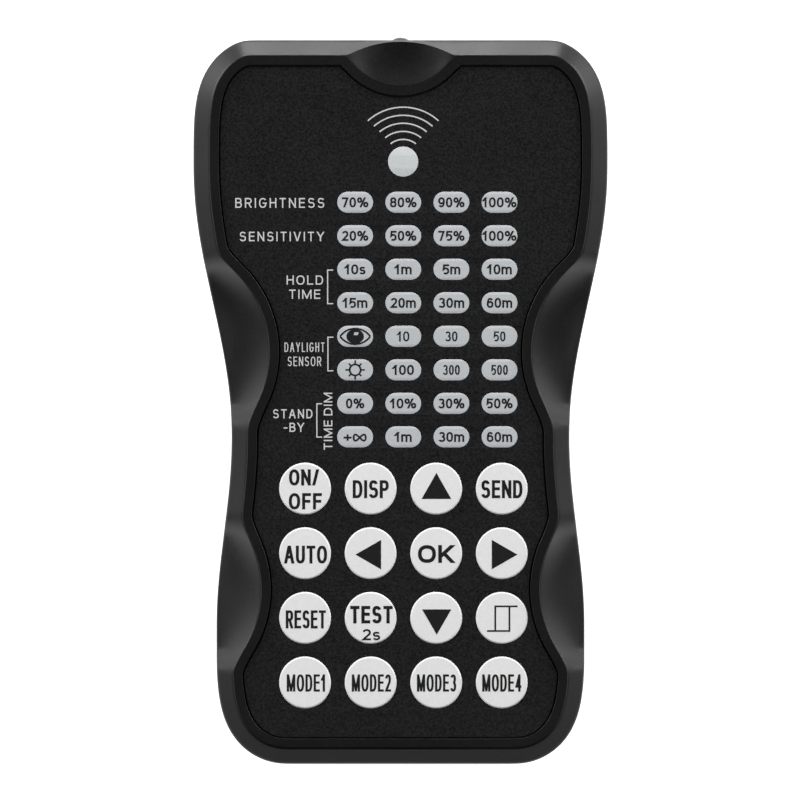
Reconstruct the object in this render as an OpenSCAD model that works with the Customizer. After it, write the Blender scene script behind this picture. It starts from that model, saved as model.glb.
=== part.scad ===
// Handheld infrared controller: a waisted two-part case with four finger scallops and a thumb
// scoop, a recessed graphic film, sixteen keys, five groups of signal windows and a cell bay.
// It lies on its back: +Z out of the key face, +Y toward the infrared lamp, origin at the middle
// of the flat back face. All sizes are in millimetres.

/* [Housing] */
// Length over the two ends, without the lamp
case_len = 123; // [121:0.5:126]
// Thickness from the back face to the rim
case_h = 20.3; // [20.3:0.1:22]
// Width at the shoulders
shoulder_w = 70.4; // [69:0.2:73]
// Width at the waist
waist_w = 57.4; // [57:0.2:60]
// Width at the hips
hip_w = 62.6; // [62:0.2:65]
// Wall thickness of both shells
wall = 1.8; // [1.6:0.1:2]
// Height of the line where the two shells meet
parting_z = 9.5; // [9.3:0.1:9.7]

/* [Front edge] */
// Width of the sloping band, seen from the front
bevel_w = 2.7; // [2.4:0.1:3]
// Height of the sloping band
bevel_drop = 2.8; // [2.6:0.1:3.4]
// Width of the flat rim round the film
rim_w = 1.65; // [1.5:0.05:1.8]
// Depth of a finger scallop at the case side
scallop_drop = 6; // [5.5:0.1:6.5]
// Radius of the ball that hollows out the thumb scoop at the top end
scoop_ball_r = 20; // [19.5:0.1:20.5]

/* [Film] */
// Thickness of the graphic film
film_t = 0.4; // [0.3:0.05:0.5]
// Depth of the film's face below the rim
film_depth = 0.4; // [0.3:0.05:0.5]
// Clearance between the film and the rim
film_gap = 0.25; // [0.15:0.05:0.3]

/* [Keys] */
// Diameter of a key
key_d = 8.86; // [8.6:0.02:8.9]
// Distance from one key column to the next
key_pitch_x = 11.13; // [11.05:0.01:11.3]
// Distance from one key row to the next
key_pitch_y = 10.97; // [10.9:0.01:11.2]
// Travel of a key
key_travel = 0.3; // [0.2:0.05:0.35]

/* [Windows] */
// Length of a pill window
pill_l = 6.08; // [5.8:0.02:6.2]
// Width of a pill window
pill_w = 3.6; // [3.4:0.1:3.8]
// Distance from one window column to the next
pill_pitch_x = 8.17; // [8:0.01:8.3]
// Distance from one window row to the next
pill_pitch_y = 5.69; // [5.6:0.01:5.8]
// Diameter of the round status window
status_d = 5.13; // [5:0.01:5.3]

/* [Cells and lamp] */
// Diameter of a cell
cell_d = 10.5; // [10.3:0.1:10.5]
// Length of a cell over its terminal
cell_len = 44.5; // [44:0.1:44.5]
// Diameter of the infrared lamp
lamp_d = 5; // [4.8:0.1:5]
// How far the lamp's dome stands past the end of the case
lamp_proud = 0.65; // [0.4:0.05:0.8]

/* [Hidden] */
key_names = [
    ["on_off", "display", "up", "send"],
    ["auto", "left", "ok", "right"],
    ["reset", "test", "down", "step"],
    ["mode_1", "mode_2", "mode_3", "mode_4"]
];

// round parts are drawn finely
$fn = 64;
tiny = 0.02;

// Heights, from the front face down
film_top = case_h - film_depth;
deck_top = film_top - film_t;
deck_t = 1.5;
deck_z = deck_top - deck_t;
board_top = 14.2;
board_t = 1;
board_z = board_top - board_t;
floor_t = 1.6;

// Outline of the case: shoulder, waist and hip, with a straight stretch at each end
half_len = case_len / 2;
shoulder_y = 40;
waist_y = -6;
hip_y = -38;
top_flat = 26.5;
bottom_flat = 20;
// powers of the superellipse at the top and the bottom corners, for the side and the end
top_corner = [1.4, 4];
bottom_corner = [1.8, 4];
outline_steps = 48;
outline_n = 152;

// Cutters that hollow the front edge: centre x, centre y, radius
scallop_r = 18.9;
scallops = [[41.2, 8.5, scallop_r], [42.6, -31.8, scallop_r]];
scoop = [0, half_len + 2.4, 10.3];
cuts = concat(scallops, [for (c = scallops) [-c.x, c.y, c.z]], [scoop]);
// how softly a cut runs into the plain edge
cut_blend = 2.4;
// hollowness of the scallops
scallop_hollow = 0.35;
// inside the wall the scoop is drawn deeper and hollower, to keep clear of the lamp's seat
scoop_drop = 5.2;
scoop_hollow = 0.8;
// shares of the way from the crease to the case side at which the surface is drawn
edge_steps = [1, 0.75, 0.5, 0.25, 0];
groove = 0.25;

// Key grid: the first column and the first row
key_x0 = -16.2;
key_y0 = -14.7;
key_top = film_top + 0.1;
key_roof_t = 1.2;
key_hole_d = 9;
deck_hole_d = 9.3;
flange_d = 10.3;
flange_t = 0.5;
flange_top = deck_z - 0.2;
stem_d = 3.5;
stem_top = 17.9;
switch_w = 6;
switch_h = 2.4;
switch_bore_d = 3.6;
stem_foot_z = board_top + 0.9;

// Window grid: the first column and the first row
pill_x0 = -7.7;
pill_y0 = 33.9;
pill_rows = 8;
window_top = film_top + tiny;
window_gap = 0.05;
status_pos = [0.45, 40.8];

// Cell bay: two cells side by side, a spring and a plate at opposite ends
cell_x = 5.5;
cell_z = 7.15;
bay_y0 = -56.3;
bay_y1 = -6.4;
bay_wall_t = 1.2;
bay_in = 13.5;
bay_top = 12.2;
plate_t = 0.4;
spring_l = bay_y1 - bay_y0 - 2 * plate_t - cell_len;

// Battery door: a plate with two rails and an end piece that wraps the lower edge
door_half = 12.05;
door_t = 1.5;
door_y1 = -6.8;
door_end_half = 13.6;
door_end_h = 5.2;
door_gap = 0.15;
rail_in = 11.2;
rail_out = 13.2;
rail_z = floor_t + 0.15;
rail_t = 0.75;

// Screw posts
posts = [[27.5, 47], [-27.5, 47], [23.8, -53], [-23.8, -53]];
post_d = 6.4;
boss_d = 5.4;
screw_d = 2.2;
screw_head_d = 4.2;
screw_seat = 5;
screw_tip = 15;

// Infrared lamp, held on the parting line
lamp_tip = half_len + lamp_proud;
lamp_dome_y = lamp_tip - lamp_d / 2;
lamp_back = 53.5;
lamp_hole_d = lamp_d + 0.2;
leg_w = 0.5;
leg_x = 1.27;
leg_y = 48;

// Board: a rectangle cleared round the bosses
board_half = 24;
board_y0 = -52;
board_y1 = 50;

// ---- Curves ----

function lerp(a, b, t) = a + (b - a) * t;
function ease(a, b, t) = lerp(a, b, (1 - cos(180 * t)) / 2);

// A corner from the widest point of the side (angle 0) to the straight end (angle 90)
function corner(flat, side, y_side, y_end, powers, angle) = [
    lerp(flat, side, pow(cos(angle), 2 / powers[0])),
    lerp(y_side, y_end, pow(sin(angle), 2 / powers[1]))
];

// The right half of the case outline, from the bottom middle to the top middle
function half_outline(n) = concat(
    [[0, -half_len]],
    [for (k = [0:n]) corner(bottom_flat, hip_w / 2, hip_y, -half_len, bottom_corner, 90 * (1 - k / n))],
    [for (k = [1:n - 1]) [ease(hip_w, waist_w, k / n) / 2, lerp(hip_y, waist_y, k / n)]],
    [for (k = [0:n - 1]) [ease(waist_w, shoulder_w, k / n) / 2, lerp(waist_y, shoulder_y, k / n)]],
    [for (k = [0:n]) corner(top_flat, shoulder_w / 2, shoulder_y, half_len, top_corner, 90 * k / n)],
    [[0, half_len]]
);

// Distance along a line of points up to each point
function run_lengths(p) = [
    for (i = 0, s = 0; i < len(p); s = s + (i + 1 < len(p) ? norm(p[i + 1] - p[i]) : 0), i = i + 1) s
];

// n equal steps along a line of points
function even_steps(p, n) =
    let (
        s = run_lengths(p),
        xs = [for (i = [0:len(p) - 1]) [s[i], p[i].x]],
        ys = [for (i = [0:len(p) - 1]) [s[i], p[i].y]],
        total = s[len(s) - 1]
    )
    [for (k = [0:n]) [lookup(total * k / n, xs), lookup(total * k / n, ys)]];

// A right half made into a whole loop, counter-clockwise seen from the front
function whole(right) = concat(right, [for (i = [len(right) - 2:-1:1]) [-right[i].x, right[i].y]]);

// Unit normals of a closed loop, pointing inward
function inward(loop) =
    let (n = len(loop))
    [for (i = [0:n - 1])
        let (t = loop[(i + 1) % n] - loop[(i + n - 1) % n])
        [-t.y, t.x] / norm(t)];

// Larger of two values, with a soft change from one to the other
function soft_max(a, b, k) = max(a, b) + pow(max(k - abs(a - b), 0), 2) / (4 * k);

// How far a cut reaches in from a point of the outline, along its normal
function reach(p, n, cut) =
    let (
        c = [cut.x, cut.y] - p,
        b = c * n,
        open = b * b - c * c + cut.z * cut.z
    )
    b < 0 ? b + sqrt(max(open, 0)) : -cut.z;

function deepest(p, n, i = 0, d = bevel_w) =
    i == len(cuts) ? d : deepest(p, n, i + 1, soft_max(d, reach(p, n, cuts[i]), cut_blend));

// ---- The loops that everything on the case follows ----

case_loop = whole(even_steps(half_outline(outline_steps), outline_n / 2));
case_in = inward(case_loop);
edge_w = [for (i = [0:outline_n - 1]) deepest(case_loop[i], case_in[i])];
crease_loop = case_loop + [for (i = [0:outline_n - 1]) edge_w[i] * case_in[i]];
crease_in = inward(crease_loop);

function case_inset(w) = case_loop + w * case_in;
function crease_inset(w) = crease_loop + w * crease_in;
function at_height(loop, z) = [for (p = loop) [p.x, p.y, z]];

// Share of a cut in the edge at point i: 0 on the plain bevel, 1 well inside a cut
function cut_share(i) =
    let (t = min(max((edge_w[i] - bevel_w) / 2, 0), 1))
    t * t * (3 - 2 * t);
function in_scoop(i) = case_loop[i].y > half_len - 1 && abs(case_loop[i].x) < 12;
function edge_drop(i) = lerp(bevel_drop, in_scoop(i) ? scoop_drop : scallop_drop, cut_share(i));
function edge_hollow(i) = cut_share(i) * (in_scoop(i) ? scoop_hollow : scallop_hollow);
function fall(i, t) = t + edge_hollow(i) * t * (1 - t);

// The scoop is a shallow cut of a big ball: its depth at p, and the depth of the bevel beyond it
function on_edge(i, t) = lerp(crease_loop[i], case_loop[i], t);
function ball_depth(p) =
    sqrt(pow(scoop_ball_r, 2) - pow(p.x - scoop.x, 2) - pow(p.y - scoop.y, 2))
    - sqrt(pow(scoop_ball_r, 2) - pow(scoop.z, 2));
function scoop_depth(i, t) = ball_depth(on_edge(i, t)) - ball_depth(crease_loop[i]) * (1 - t);
function bevel_depth(i, t) = bevel_drop * (1 - (1 - t) * edge_w[i] / bevel_w);
function edge_depth(i, t) =
    in_scoop(i) ? max(scoop_depth(i, t), bevel_depth(i, t), 0) : edge_drop(i) * fall(i, t);

// Where the ball's cut ends and the bevel takes over, found by halving
function knee(i, low = 0, high = 1, n = 12) =
    let (t = (low + high) / 2)
    n == 0 ? t : scoop_depth(i, t) > bevel_depth(i, t) ? knee(i, t, high, n - 1) : knee(i, low, t, n - 1);
edge_knee = [
    for (i = [0:outline_n - 1])
        let (nearness = min(max((12 - abs(case_loop[i].x)) / 1.5, 0), 1))
        in_scoop(i) ? lerp(0.5, min(max(knee(i), 0.1), 0.97), nearness) : 0.5
];
function ring_share(i, s) =
    s < 0.5 ? 2 * s * edge_knee[i] : edge_knee[i] + (2 * s - 1) * (1 - edge_knee[i]);

// Front edge surface: s is 0 at the crease, 0.5 at the knee and 1 at the case side
function edge_ring(s) = [
    for (i = [0:outline_n - 1])
        let (t = ring_share(i, s), p = on_edge(i, t))
        [p.x, p.y, case_h - edge_depth(i, t)]
];

// The same surface inside the wall
function edge_ring_inside(t) =
    let (from = crease_inset(rim_w), to = case_inset(wall))
    [for (i = [0:outline_n - 1])
        let (p = lerp(from[i], to[i], t), drop = edge_drop(i) + 1 - (case_h - deck_z))
        [p.x, p.y, deck_z - drop * fall(i, t)]];

// ---- Solids from loops ----

// A tube-like solid: each ring joins the next, and the last joins the first
module closed_ring(rings) {
    n = len(rings[0]);
    m = len(rings);
    polyhedron(
        points = [for (r = rings) each r],
        faces = [
            for (j = [0:m - 1], i = [0:n - 1])
                let (next = (i + 1) % n, up = (j + 1) % m * n, a = j * n + i, b = j * n + next)
                each [[a, up + i, up + next], [a, up + next, b]]
        ]
    );
}

function total(points, i = 0) = i == len(points) - 1 ? points[i] : points[i] + total(points, i + 1);
function middle(points) = total(points) / len(points);

// A stack of rings, closed by a flat face at each end
module stack(rings) {
    n = len(rings[0]);
    m = len(rings);
    first_middle = m * n;
    polyhedron(
        points = concat([for (r = rings) each r], [middle(rings[0]), middle(rings[m - 1])]),
        faces = concat(
            [for (j = [0:m - 2], i = [0:n - 1])
                let (a = j * n + i, b = j * n + (i + 1) % n, c = b + n, d = a + n)
                each [[a, d, c], [a, c, b]]],
            [for (i = [0:n - 1]) [first_middle, i, (i + 1) % n]],
            [for (i = [0:n - 1]) [first_middle + 1, (m - 1) * n + (i + 1) % n, (m - 1) * n + i]]
        )
    );
}

module block(low, high) {
    translate(low) cube(high - low);
}

module pill(grow = 0) {
    r = pill_w / 2 + grow;
    straight = pill_l - pill_w;
    square([straight, 2 * r], center = true);
    for (s = [-1, 1]) {
        translate([s * straight / 2, 0]) circle(r);
    }
}

module at_pills(rows) {
    for (row = rows, column = [0:3]) {
        translate([pill_x0 + column * pill_pitch_x, pill_y0 - row * pill_pitch_y]) children();
    }
}

function key_pos(column, row) = [key_x0 + column * key_pitch_x, key_y0 - row * key_pitch_y, 0];

module at_keys() {
    for (row = [0:3], column = [0:3]) {
        translate(key_pos(column, row)) children();
    }
}

// Round hole for the lamp, half in each shell
module lamp_hole() {
    translate([0, lamp_back, parting_z]) rotate([-90, 0, 0]) cylinder(d = lamp_hole_d, h = 12);
}

// ---- Housing ----

// Deck under the film, with a hole for each key and each window
module deck() {
    translate([0, 0, deck_z]) linear_extrude(deck_t) difference() {
        polygon(crease_inset(rim_w - 0.5));
        at_keys() circle(d = deck_hole_d);
        at_pills([0:pill_rows - 1]) pill(window_gap);
        translate(status_pos) circle(d = status_d + 2 * window_gap);
    }
}

module front_shell() {
    color("#232324") difference() {
        union() {
            closed_ring(concat(
                [at_height(case_inset(groove), parting_z), at_height(case_loop, parting_z + groove)],
                [for (t = edge_steps) edge_ring(t)],
                [at_height(crease_inset(rim_w), case_h)],
                [for (t = [0, 0.33, 0.67, 1]) edge_ring_inside(t)],
                [at_height(case_inset(wall), parting_z)]
            ));
            deck();
            for (p = posts) {
                translate([p.x, p.y, parting_z]) cylinder(d = boss_d, h = deck_z - parting_z + 0.1);
            }
        }
        for (p = posts) {
            translate([p.x, p.y, parting_z - 1]) cylinder(d = screw_d, h = screw_tip - parting_z + 1.5);
        }
        lamp_hole();
    }
}

// Outer surface of the rear shell, from the flat back up to the parting line
back_round_w = 4;
back_round_h = 4.5;
back_steps = [0, 22.5, 45, 67.5, 90];
function back_ring(angle) = at_height(
    case_inset(back_round_w * (1 - sin(angle))),
    back_round_h * (1 - cos(angle))
);
rear_outer = concat(
    [for (a = back_steps) back_ring(a)],
    [at_height(case_loop, parting_z - groove), at_height(case_inset(groove), parting_z)]
);
function back_ring_inside(angle) = at_height(
    case_inset(lerp(wall, back_round_w + 1, 1 - sin(angle))),
    lerp(floor_t, back_round_h + 0.5, 1 - cos(angle))
);

module door_path(gap) {
    block([-door_half - gap, -case_len, -1], [door_half + gap, door_y1 + gap, floor_t + 1]);
    block([-door_end_half - gap, -case_len, -1], [door_end_half + gap, bay_y0, door_end_h + gap]);
}

// Walls of the cell bay
module bay_walls() {
    for (s = [-1, 1]) {
        block(
            [s * (bay_in + bay_wall_t / 2) - bay_wall_t / 2, bay_y0 - bay_wall_t, floor_t - tiny],
            [s * (bay_in + bay_wall_t / 2) + bay_wall_t / 2, bay_y1 + bay_wall_t, bay_top]
        );
    }
    block([-bay_in - tiny, bay_y1, floor_t - tiny], [bay_in + tiny, bay_y1 + bay_wall_t, bay_top]);
    block([-bay_in - tiny, bay_y0 - bay_wall_t, 2.8], [bay_in + tiny, bay_y0, bay_top]);
}

module rear_shell() {
    lip_out = wall + 0.1;
    lip_in = lip_out + 0.9;
    lip_top = parting_z + 1.4;
    color("#232324") difference() {
        union() {
            difference() {
                union() {
                    closed_ring(concat(
                        rear_outer,
                        [for (z = [parting_z, lip_top]) at_height(case_inset(lip_out), z)],
                        [for (z = [lip_top, parting_z - 1]) at_height(case_inset(lip_in), z)],
                        [at_height(case_inset(wall), parting_z - 2)],
                        [for (a = [90, 60, 30, 0]) back_ring_inside(a)],
                        [at_height(case_inset(back_round_w + 1), 0)]
                    ));
                    linear_extrude(floor_t) polygon(case_inset(back_round_w + 0.6));
                }
                door_path(door_gap);
            }
            bay_walls();
            for (p = posts) {
                translate([p.x, p.y, floor_t - tiny]) cylinder(d = post_d, h = parting_z - floor_t + tiny);
            }
        }
        for (p = posts) {
            translate([p.x, p.y, -1]) cylinder(d = screw_d + 0.3, h = parting_z + 2);
            translate([p.x, p.y, -1]) cylinder(d = screw_head_d + 0.3, h = screw_seat + 1);
        }
        lamp_hole();
    }
}

module battery_door() {
    grip_n = 5;
    grip_pitch = 2.4;
    grip_y0 = -20;
    grip_l = 14;
    grip_r = 0.6;
    color("#232324") difference() {
        union() {
            intersection() {
                stack(rear_outer);
                union() {
                    block([-door_half, -case_len, -1], [door_half, door_y1, door_t]);
                    block([-door_end_half, -case_len, -1], [door_end_half, -half_len + wall, door_end_h]);
                    block([-door_end_half, -case_len, -1], [door_end_half, bay_y0 - door_gap - 0.1, door_t]);
                }
            }
            for (s = [-1, 1]) {
                block(
                    [s > 0 ? rail_in : -rail_out, bay_y0 + 2, rail_z],
                    [s > 0 ? rail_out : -rail_in, door_y1 - 2, rail_z + rail_t]
                );
                block(
                    [s > 0 ? rail_in : -door_half + 0.1, bay_y0 + 2, door_t - 0.1],
                    [s > 0 ? door_half - 0.1 : -rail_in, door_y1 - 2, rail_z + 0.1]
                );
            }
        }
        for (k = [0:grip_n - 1]) {
            translate([-grip_l / 2, grip_y0 + k * grip_pitch, 0]) rotate([0, 90, 0]) cylinder(r = grip_r, h = grip_l);
        }
    }
}

module graphic_overlay() {
    color("#1f1f20") translate([0, 0, deck_top]) linear_extrude(film_t) difference() {
        polygon(crease_inset(rim_w + film_gap));
        at_keys() circle(d = key_hole_d);
        at_pills([0:pill_rows - 1]) pill(window_gap);
        translate(status_pos) circle(d = status_d + 2 * window_gap);
    }
}

// ---- Keys and switches ----

// A key: a thin cap with a flange that keeps it under the deck and a post down to its switch
module key(column, row) {
    skirt_in = 7.2;
    edge_r = 0.25;
    post_r = 1.5;
    foot = flange_top - flange_t;
    color("#e6e6e6") translate(key_pos(column, row)) rotate_extrude() polygon([
        [0, stem_top],
        [post_r, stem_top],
        [post_r, key_top - key_roof_t],
        [skirt_in / 2, key_top - key_roof_t],
        [skirt_in / 2, foot],
        [flange_d / 2, foot],
        [flange_d / 2, flange_top],
        [key_d / 2, flange_top],
        [key_d / 2, key_top - edge_r],
        [key_d / 2 - edge_r, key_top],
        [0, key_top]
    ]);
}

// The moving stem of a tact switch
module switch_stem(column, row) {
    color("#2e2e30") translate(key_pos(column, row)) translate([0, 0, stem_foot_z]) {
        cylinder(d = stem_d, h = stem_top - stem_foot_z);
    }
}

// The fixed bodies: a square can with a bore for the stem
module switch_bodies() {
    color("#b9bbbd") at_keys() {
        difference() {
            translate([-switch_w / 2, -switch_w / 2, board_top]) cube([switch_w, switch_w, switch_h]);
            translate([0, 0, stem_foot_z - key_travel - 0.1]) cylinder(d = switch_bore_d, h = switch_h);
        }
    }
}

// ---- Windows and lamps ----

module windows(rows) {
    color("#c9ccce") translate([0, 0, deck_z]) linear_extrude(window_top - deck_z) at_pills(rows) pill();
}

module status_window() {
    color("#d8dadb") translate([status_pos.x, status_pos.y, deck_z]) {
        cylinder(d = status_d, h = window_top - deck_z);
    }
}

// Block that keeps each lamp's light under its own window, with a ledge that the window rests on
module light_baffle() {
    ledge = 0.3;
    margin = 0.5;
    low = [pill_x0 - pill_l / 2 - margin, pill_y0 - (pill_rows - 1) * pill_pitch_y - pill_w / 2 - margin];
    high = [pill_x0 + 3 * pill_pitch_x + pill_l / 2 + margin, status_pos.y + status_d / 2 + margin];
    color("#e9e9e6") translate([0, 0, board_top]) linear_extrude(deck_z - board_top) difference() {
        translate(low) square(high - low);
        at_pills([0:pill_rows - 1]) pill(-ledge);
        translate(status_pos) circle(d = status_d - 2 * ledge);
    }
}

module lamp_chip() {
    translate([-0.8, -0.4, board_top]) cube([1.6, 0.8, 0.6]);
}

module indicator_lamps() {
    color("#f0ead2") at_pills([0:pill_rows - 1]) lamp_chip();
}

module status_lamp() {
    color("#f0ead2") translate(status_pos) lamp_chip();
}

// Infrared lamp: a flanged round body with a dome, lying along Y
module ir_lamp() {
    flange_w = 0.8;
    steps = 12;
    r = lamp_d / 2;
    body_l = lamp_dome_y - lamp_back;
    color("#cfd6de") translate([0, lamp_back, parting_z]) rotate([-90, 0, 0]) rotate_extrude() polygon(concat(
        [[0, 0], [r + 0.4, 0], [r + 0.4, flange_w], [r, flange_w]],
        [for (k = [0:steps]) [r * cos(90 * k / steps), body_l + r * sin(90 * k / steps)]]
    ));
}

// The lamp's two legs, bent up through the board
module ir_lamp_legs() {
    color("#c9c9c4") for (s = [-1, 1]) {
        corner = [s * leg_x, leg_y, parting_z] - leg_w / 2 * [1, 1, 1];
        translate(corner) cube([leg_w, lamp_back - corner.y, leg_w]);
        translate(corner) cube([leg_w, leg_w, board_top + 0.6 - corner.z]);
    }
}

// ---- Board and what sits on its underside ----

module main_board() {
    color("#1f6b3a") translate([0, 0, board_z]) linear_extrude(board_t) difference() {
        translate([-board_half, board_y0]) square([2 * board_half, board_y1 - board_y0]);
        for (p = posts) {
            translate(p) circle(d = boss_d + 2);
        }
        for (s = [-1, 1]) {
            translate([s * leg_x, leg_y]) circle(d = 1);
        }
    }
}

// A chip under the board: a body and a row of leads on two sides
module chip(pos, size, leads, pitch) {
    foot = [0.3, 1, 0.2];
    shank = [foot.x, foot.x, size.z * 0.8];
    translate([pos.x, pos.y, board_z - size.z]) {
        translate([-size.x / 2, -size.y / 2, 0]) cube([size.x, size.y, size.z - 0.1]);
        for (s = [-1, 1], k = [0:leads - 1]) {
            x = (k - (leads - 1) / 2) * pitch;
            translate([x, s * (size.y + foot.y) / 2, size.z - foot.z / 2]) cube(foot, center = true);
            translate([x, s * (size.y + shank.y) / 2, size.z - shank.z / 2]) cube(shank, center = true);
        }
    }
}

module microcontroller() {
    color("#27272a") chip([-8, 24], [10, 7.5, 1.8], 10, 0.95);
}

module driver_chip() {
    color("#27272a") chip([9, 24], [9, 5, 1.6], 8, 1.1);
}

module crystal() {
    color("#c3c5c7") translate([-8, 10, board_z - 3]) {
        linear_extrude(3) {
            square([6.4, 3.6], center = true);
            for (s = [-1, 1]) {
                translate([s * 3.2, 0]) circle(d = 3.6);
            }
        }
    }
}

module capacitors() {
    color("#3a3c46") for (p = [[6, 10], [14, 10]]) {
        translate([p.x, p.y, board_z - 6]) cylinder(d = 5, h = 6);
    }
}

module resistors() {
    color("#1c1c1e") for (k = [0:7]) {
        translate([-16 + k * 4.4, 34, board_z - 0.5]) cube([2, 1.2, 0.5]);
    }
}

// ---- Cells, contacts and screws ----

// A cell along Y with its terminal toward the given end
module cell(x, end) {
    nipple_r = 1.8;
    can_r = cell_d / 2;
    can_l = cell_len - 1;
    edge = 0.4;
    low = end > 0 ? bay_y1 - plate_t - cell_len : bay_y0 + plate_t + cell_len;
    color("#8d9196") translate([x, low, cell_z]) rotate([end > 0 ? -90 : 90, 0, 0]) {
        rotate_extrude() polygon([
            [0, 0], [can_r - edge, 0], [can_r, edge], [can_r, can_l - edge], [can_r - edge, can_l],
            [nipple_r, can_l], [nipple_r, cell_len], [0, cell_len]
        ]);
    }
}

module cell_left() {
    cell(-cell_x, 1);
}

module cell_right() {
    cell(cell_x, -1);
}

// A conical coil along +Z, as one swept tube with flat ends
module coil(r0, r1, length, turns, wire_r) {
    per_turn = 14;
    sides = 6;
    rings = per_turn * turns;
    stack([
        for (k = [0:rings])
            let (
                t = k / rings,
                out = [cos(360 * turns * t), sin(360 * turns * t), 0],
                up = [0, 0, 1],
                on_path = lerp(r0, r1, t) * out + lerp(wire_r, length - wire_r, t) * up
            )
            [for (j = [0:sides - 1])
                let (b = -360 * j / sides)
                on_path + wire_r * (cos(b) * out + sin(b) * up)]
    ]);
}

module cell_springs() {
    color("#c9c9c4") {
        translate([-cell_x, bay_y0 + plate_t, cell_z]) rotate([-90, 0, 0]) coil(3.6, 1.8, spring_l, 3, 0.35);
        translate([cell_x, bay_y1 - plate_t, cell_z]) rotate([90, 0, 0]) coil(3.6, 1.8, spring_l, 3, 0.35);
    }
}

module contact_plates() {
    half = 4.4;
    low = 3.4;
    high = 11.4;
    color("#c9c9c4") {
        for (s = [-1, 1]) {
            block([s * cell_x - half, bay_y1 - plate_t, low], [s * cell_x + half, bay_y1, high]);
        }
        block([-cell_x - half, bay_y0, low], [cell_x + half, bay_y0 + plate_t, high]);
    }
}

module case_screws() {
    head_h = 1.6;
    slot_w = 0.6;
    slot_l = 2.6;
    color("#a9abae") for (p = posts) {
        translate([p.x, p.y, screw_seat - head_h]) difference() {
            union() {
                cylinder(d = screw_head_d, h = head_h);
                cylinder(d = screw_d - 2 * tiny, h = screw_tip - screw_seat + head_h);
            }
            for (a = [0, 90]) {
                rotate(a) translate([-slot_l / 2, -slot_w / 2, -1]) cube([slot_l, slot_w, 1.8]);
            }
        }
    }
}

front_shell();
rear_shell();
battery_door();
graphic_overlay();
for (row = [0:3], column = [0:3]) {
    key(column, row);
    switch_stem(column, row);
}
switch_bodies();
status_window();
windows([0]);  // brightness_windows
windows([1]);  // sensitivity_windows
windows([2, 3]);  // hold_time_windows
windows([4, 5]);  // daylight_windows
windows([6, 7]);  // standby_windows
light_baffle();
main_board();
indicator_lamps();
status_lamp();
ir_lamp();
ir_lamp_legs();
microcontroller();
driver_chip();
crystal();
capacitors();
resistors();
cell_left();
cell_right();
cell_springs();
contact_plates();
case_screws();
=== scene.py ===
# %% [markdown]
# # A handheld infrared controller
# This lesson dresses a controller whose exact parts were made in CAD. The CAD parts arrive as a
# fixed frame, in metres, lying on their backs: +Z comes out of the key face and +Y points to the
# infrared lamp. Each step replaces a plain CAD part by a finer one, or gives it a better finish.

import math

import bpy
import bmesh
import numpy as np
from mathutils import Matrix, Vector
from mathutils.geometry import delaunay_2d_cdt, tessellate_polygon


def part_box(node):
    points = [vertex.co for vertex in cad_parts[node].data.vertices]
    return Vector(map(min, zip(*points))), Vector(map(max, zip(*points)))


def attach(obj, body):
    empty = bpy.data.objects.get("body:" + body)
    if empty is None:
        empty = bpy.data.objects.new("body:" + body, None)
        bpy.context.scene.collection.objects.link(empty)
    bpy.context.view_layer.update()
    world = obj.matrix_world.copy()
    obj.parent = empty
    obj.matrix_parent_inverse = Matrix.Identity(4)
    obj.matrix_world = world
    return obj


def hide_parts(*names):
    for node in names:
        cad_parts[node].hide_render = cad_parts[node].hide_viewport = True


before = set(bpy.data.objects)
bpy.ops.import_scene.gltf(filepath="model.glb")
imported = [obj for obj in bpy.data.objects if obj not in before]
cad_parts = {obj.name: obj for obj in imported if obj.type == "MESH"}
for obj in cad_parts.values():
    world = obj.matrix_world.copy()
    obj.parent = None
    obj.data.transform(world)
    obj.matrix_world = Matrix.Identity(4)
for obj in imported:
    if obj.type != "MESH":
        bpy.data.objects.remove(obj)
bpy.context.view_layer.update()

# %% [markdown]
# ## Working in millimetres
# A key is 9 mm wide, so numbers in metres would be hard to read. All shapes are drawn in
# millimetres and shrunk to metres in one place, when a piece is handed to its body.

# %% Read places from the frame
MM = 0.001


def box_mm(node):
    low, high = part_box(node)
    return np.array(low) / MM, np.array(high) / MM


shell_low, shell_high = box_mm("front_shell")
film_low, film_high = box_mm("graphic_overlay")
parting_z = round(float(shell_low[2]), 3)
case_h = round(float(shell_high[2]), 3)
half_len = round(float(shell_high[1]), 3)
film_top = round(float(film_high[2]), 3)
film_under = round(float(film_low[2]), 3)
print(f"parting line {parting_z}, rim {case_h}, film {film_under} to {film_top}, half length {half_len} mm")

# %% [markdown]
# ## Building blocks
# Nearly every piece is one of four things: a loft through rings, a lathe turned about an axis, a
# prism over a flat outline, or a thin plate with softened edges. Each helper below returns plain
# corners and faces, and `solid` turns them into a Blender object whose normals point outward.

# %% Make an object from corners and faces
def in_scene(name, data):
    """A new object in the scene that holds a mesh, curve, light or camera."""
    obj = bpy.data.objects.new(name, data)
    bpy.context.scene.collection.objects.link(obj)
    return obj


def solid(name, corners, faces, facing_up=False):
    mesh = bpy.data.meshes.new(name)
    mesh.from_pydata([tuple(map(float, c)) for c in corners], [], faces)
    work = bmesh.new()
    work.from_mesh(mesh)
    if facing_up:
        bmesh.ops.delete(work, geom=[v for v in work.verts if not v.link_faces], context="VERTS")
    else:
        bmesh.ops.recalc_face_normals(work, faces=work.faces)
    work.to_mesh(mesh)
    work.free()
    return in_scene(name, mesh)


def joined(parts):
    corners, faces, start = [], [], 0
    for part_corners, part_faces in parts:
        corners += [tuple(c) for c in part_corners]
        faces += [[start + i for i in face] for face in part_faces]
        start += len(part_corners)
    return corners, faces


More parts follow.
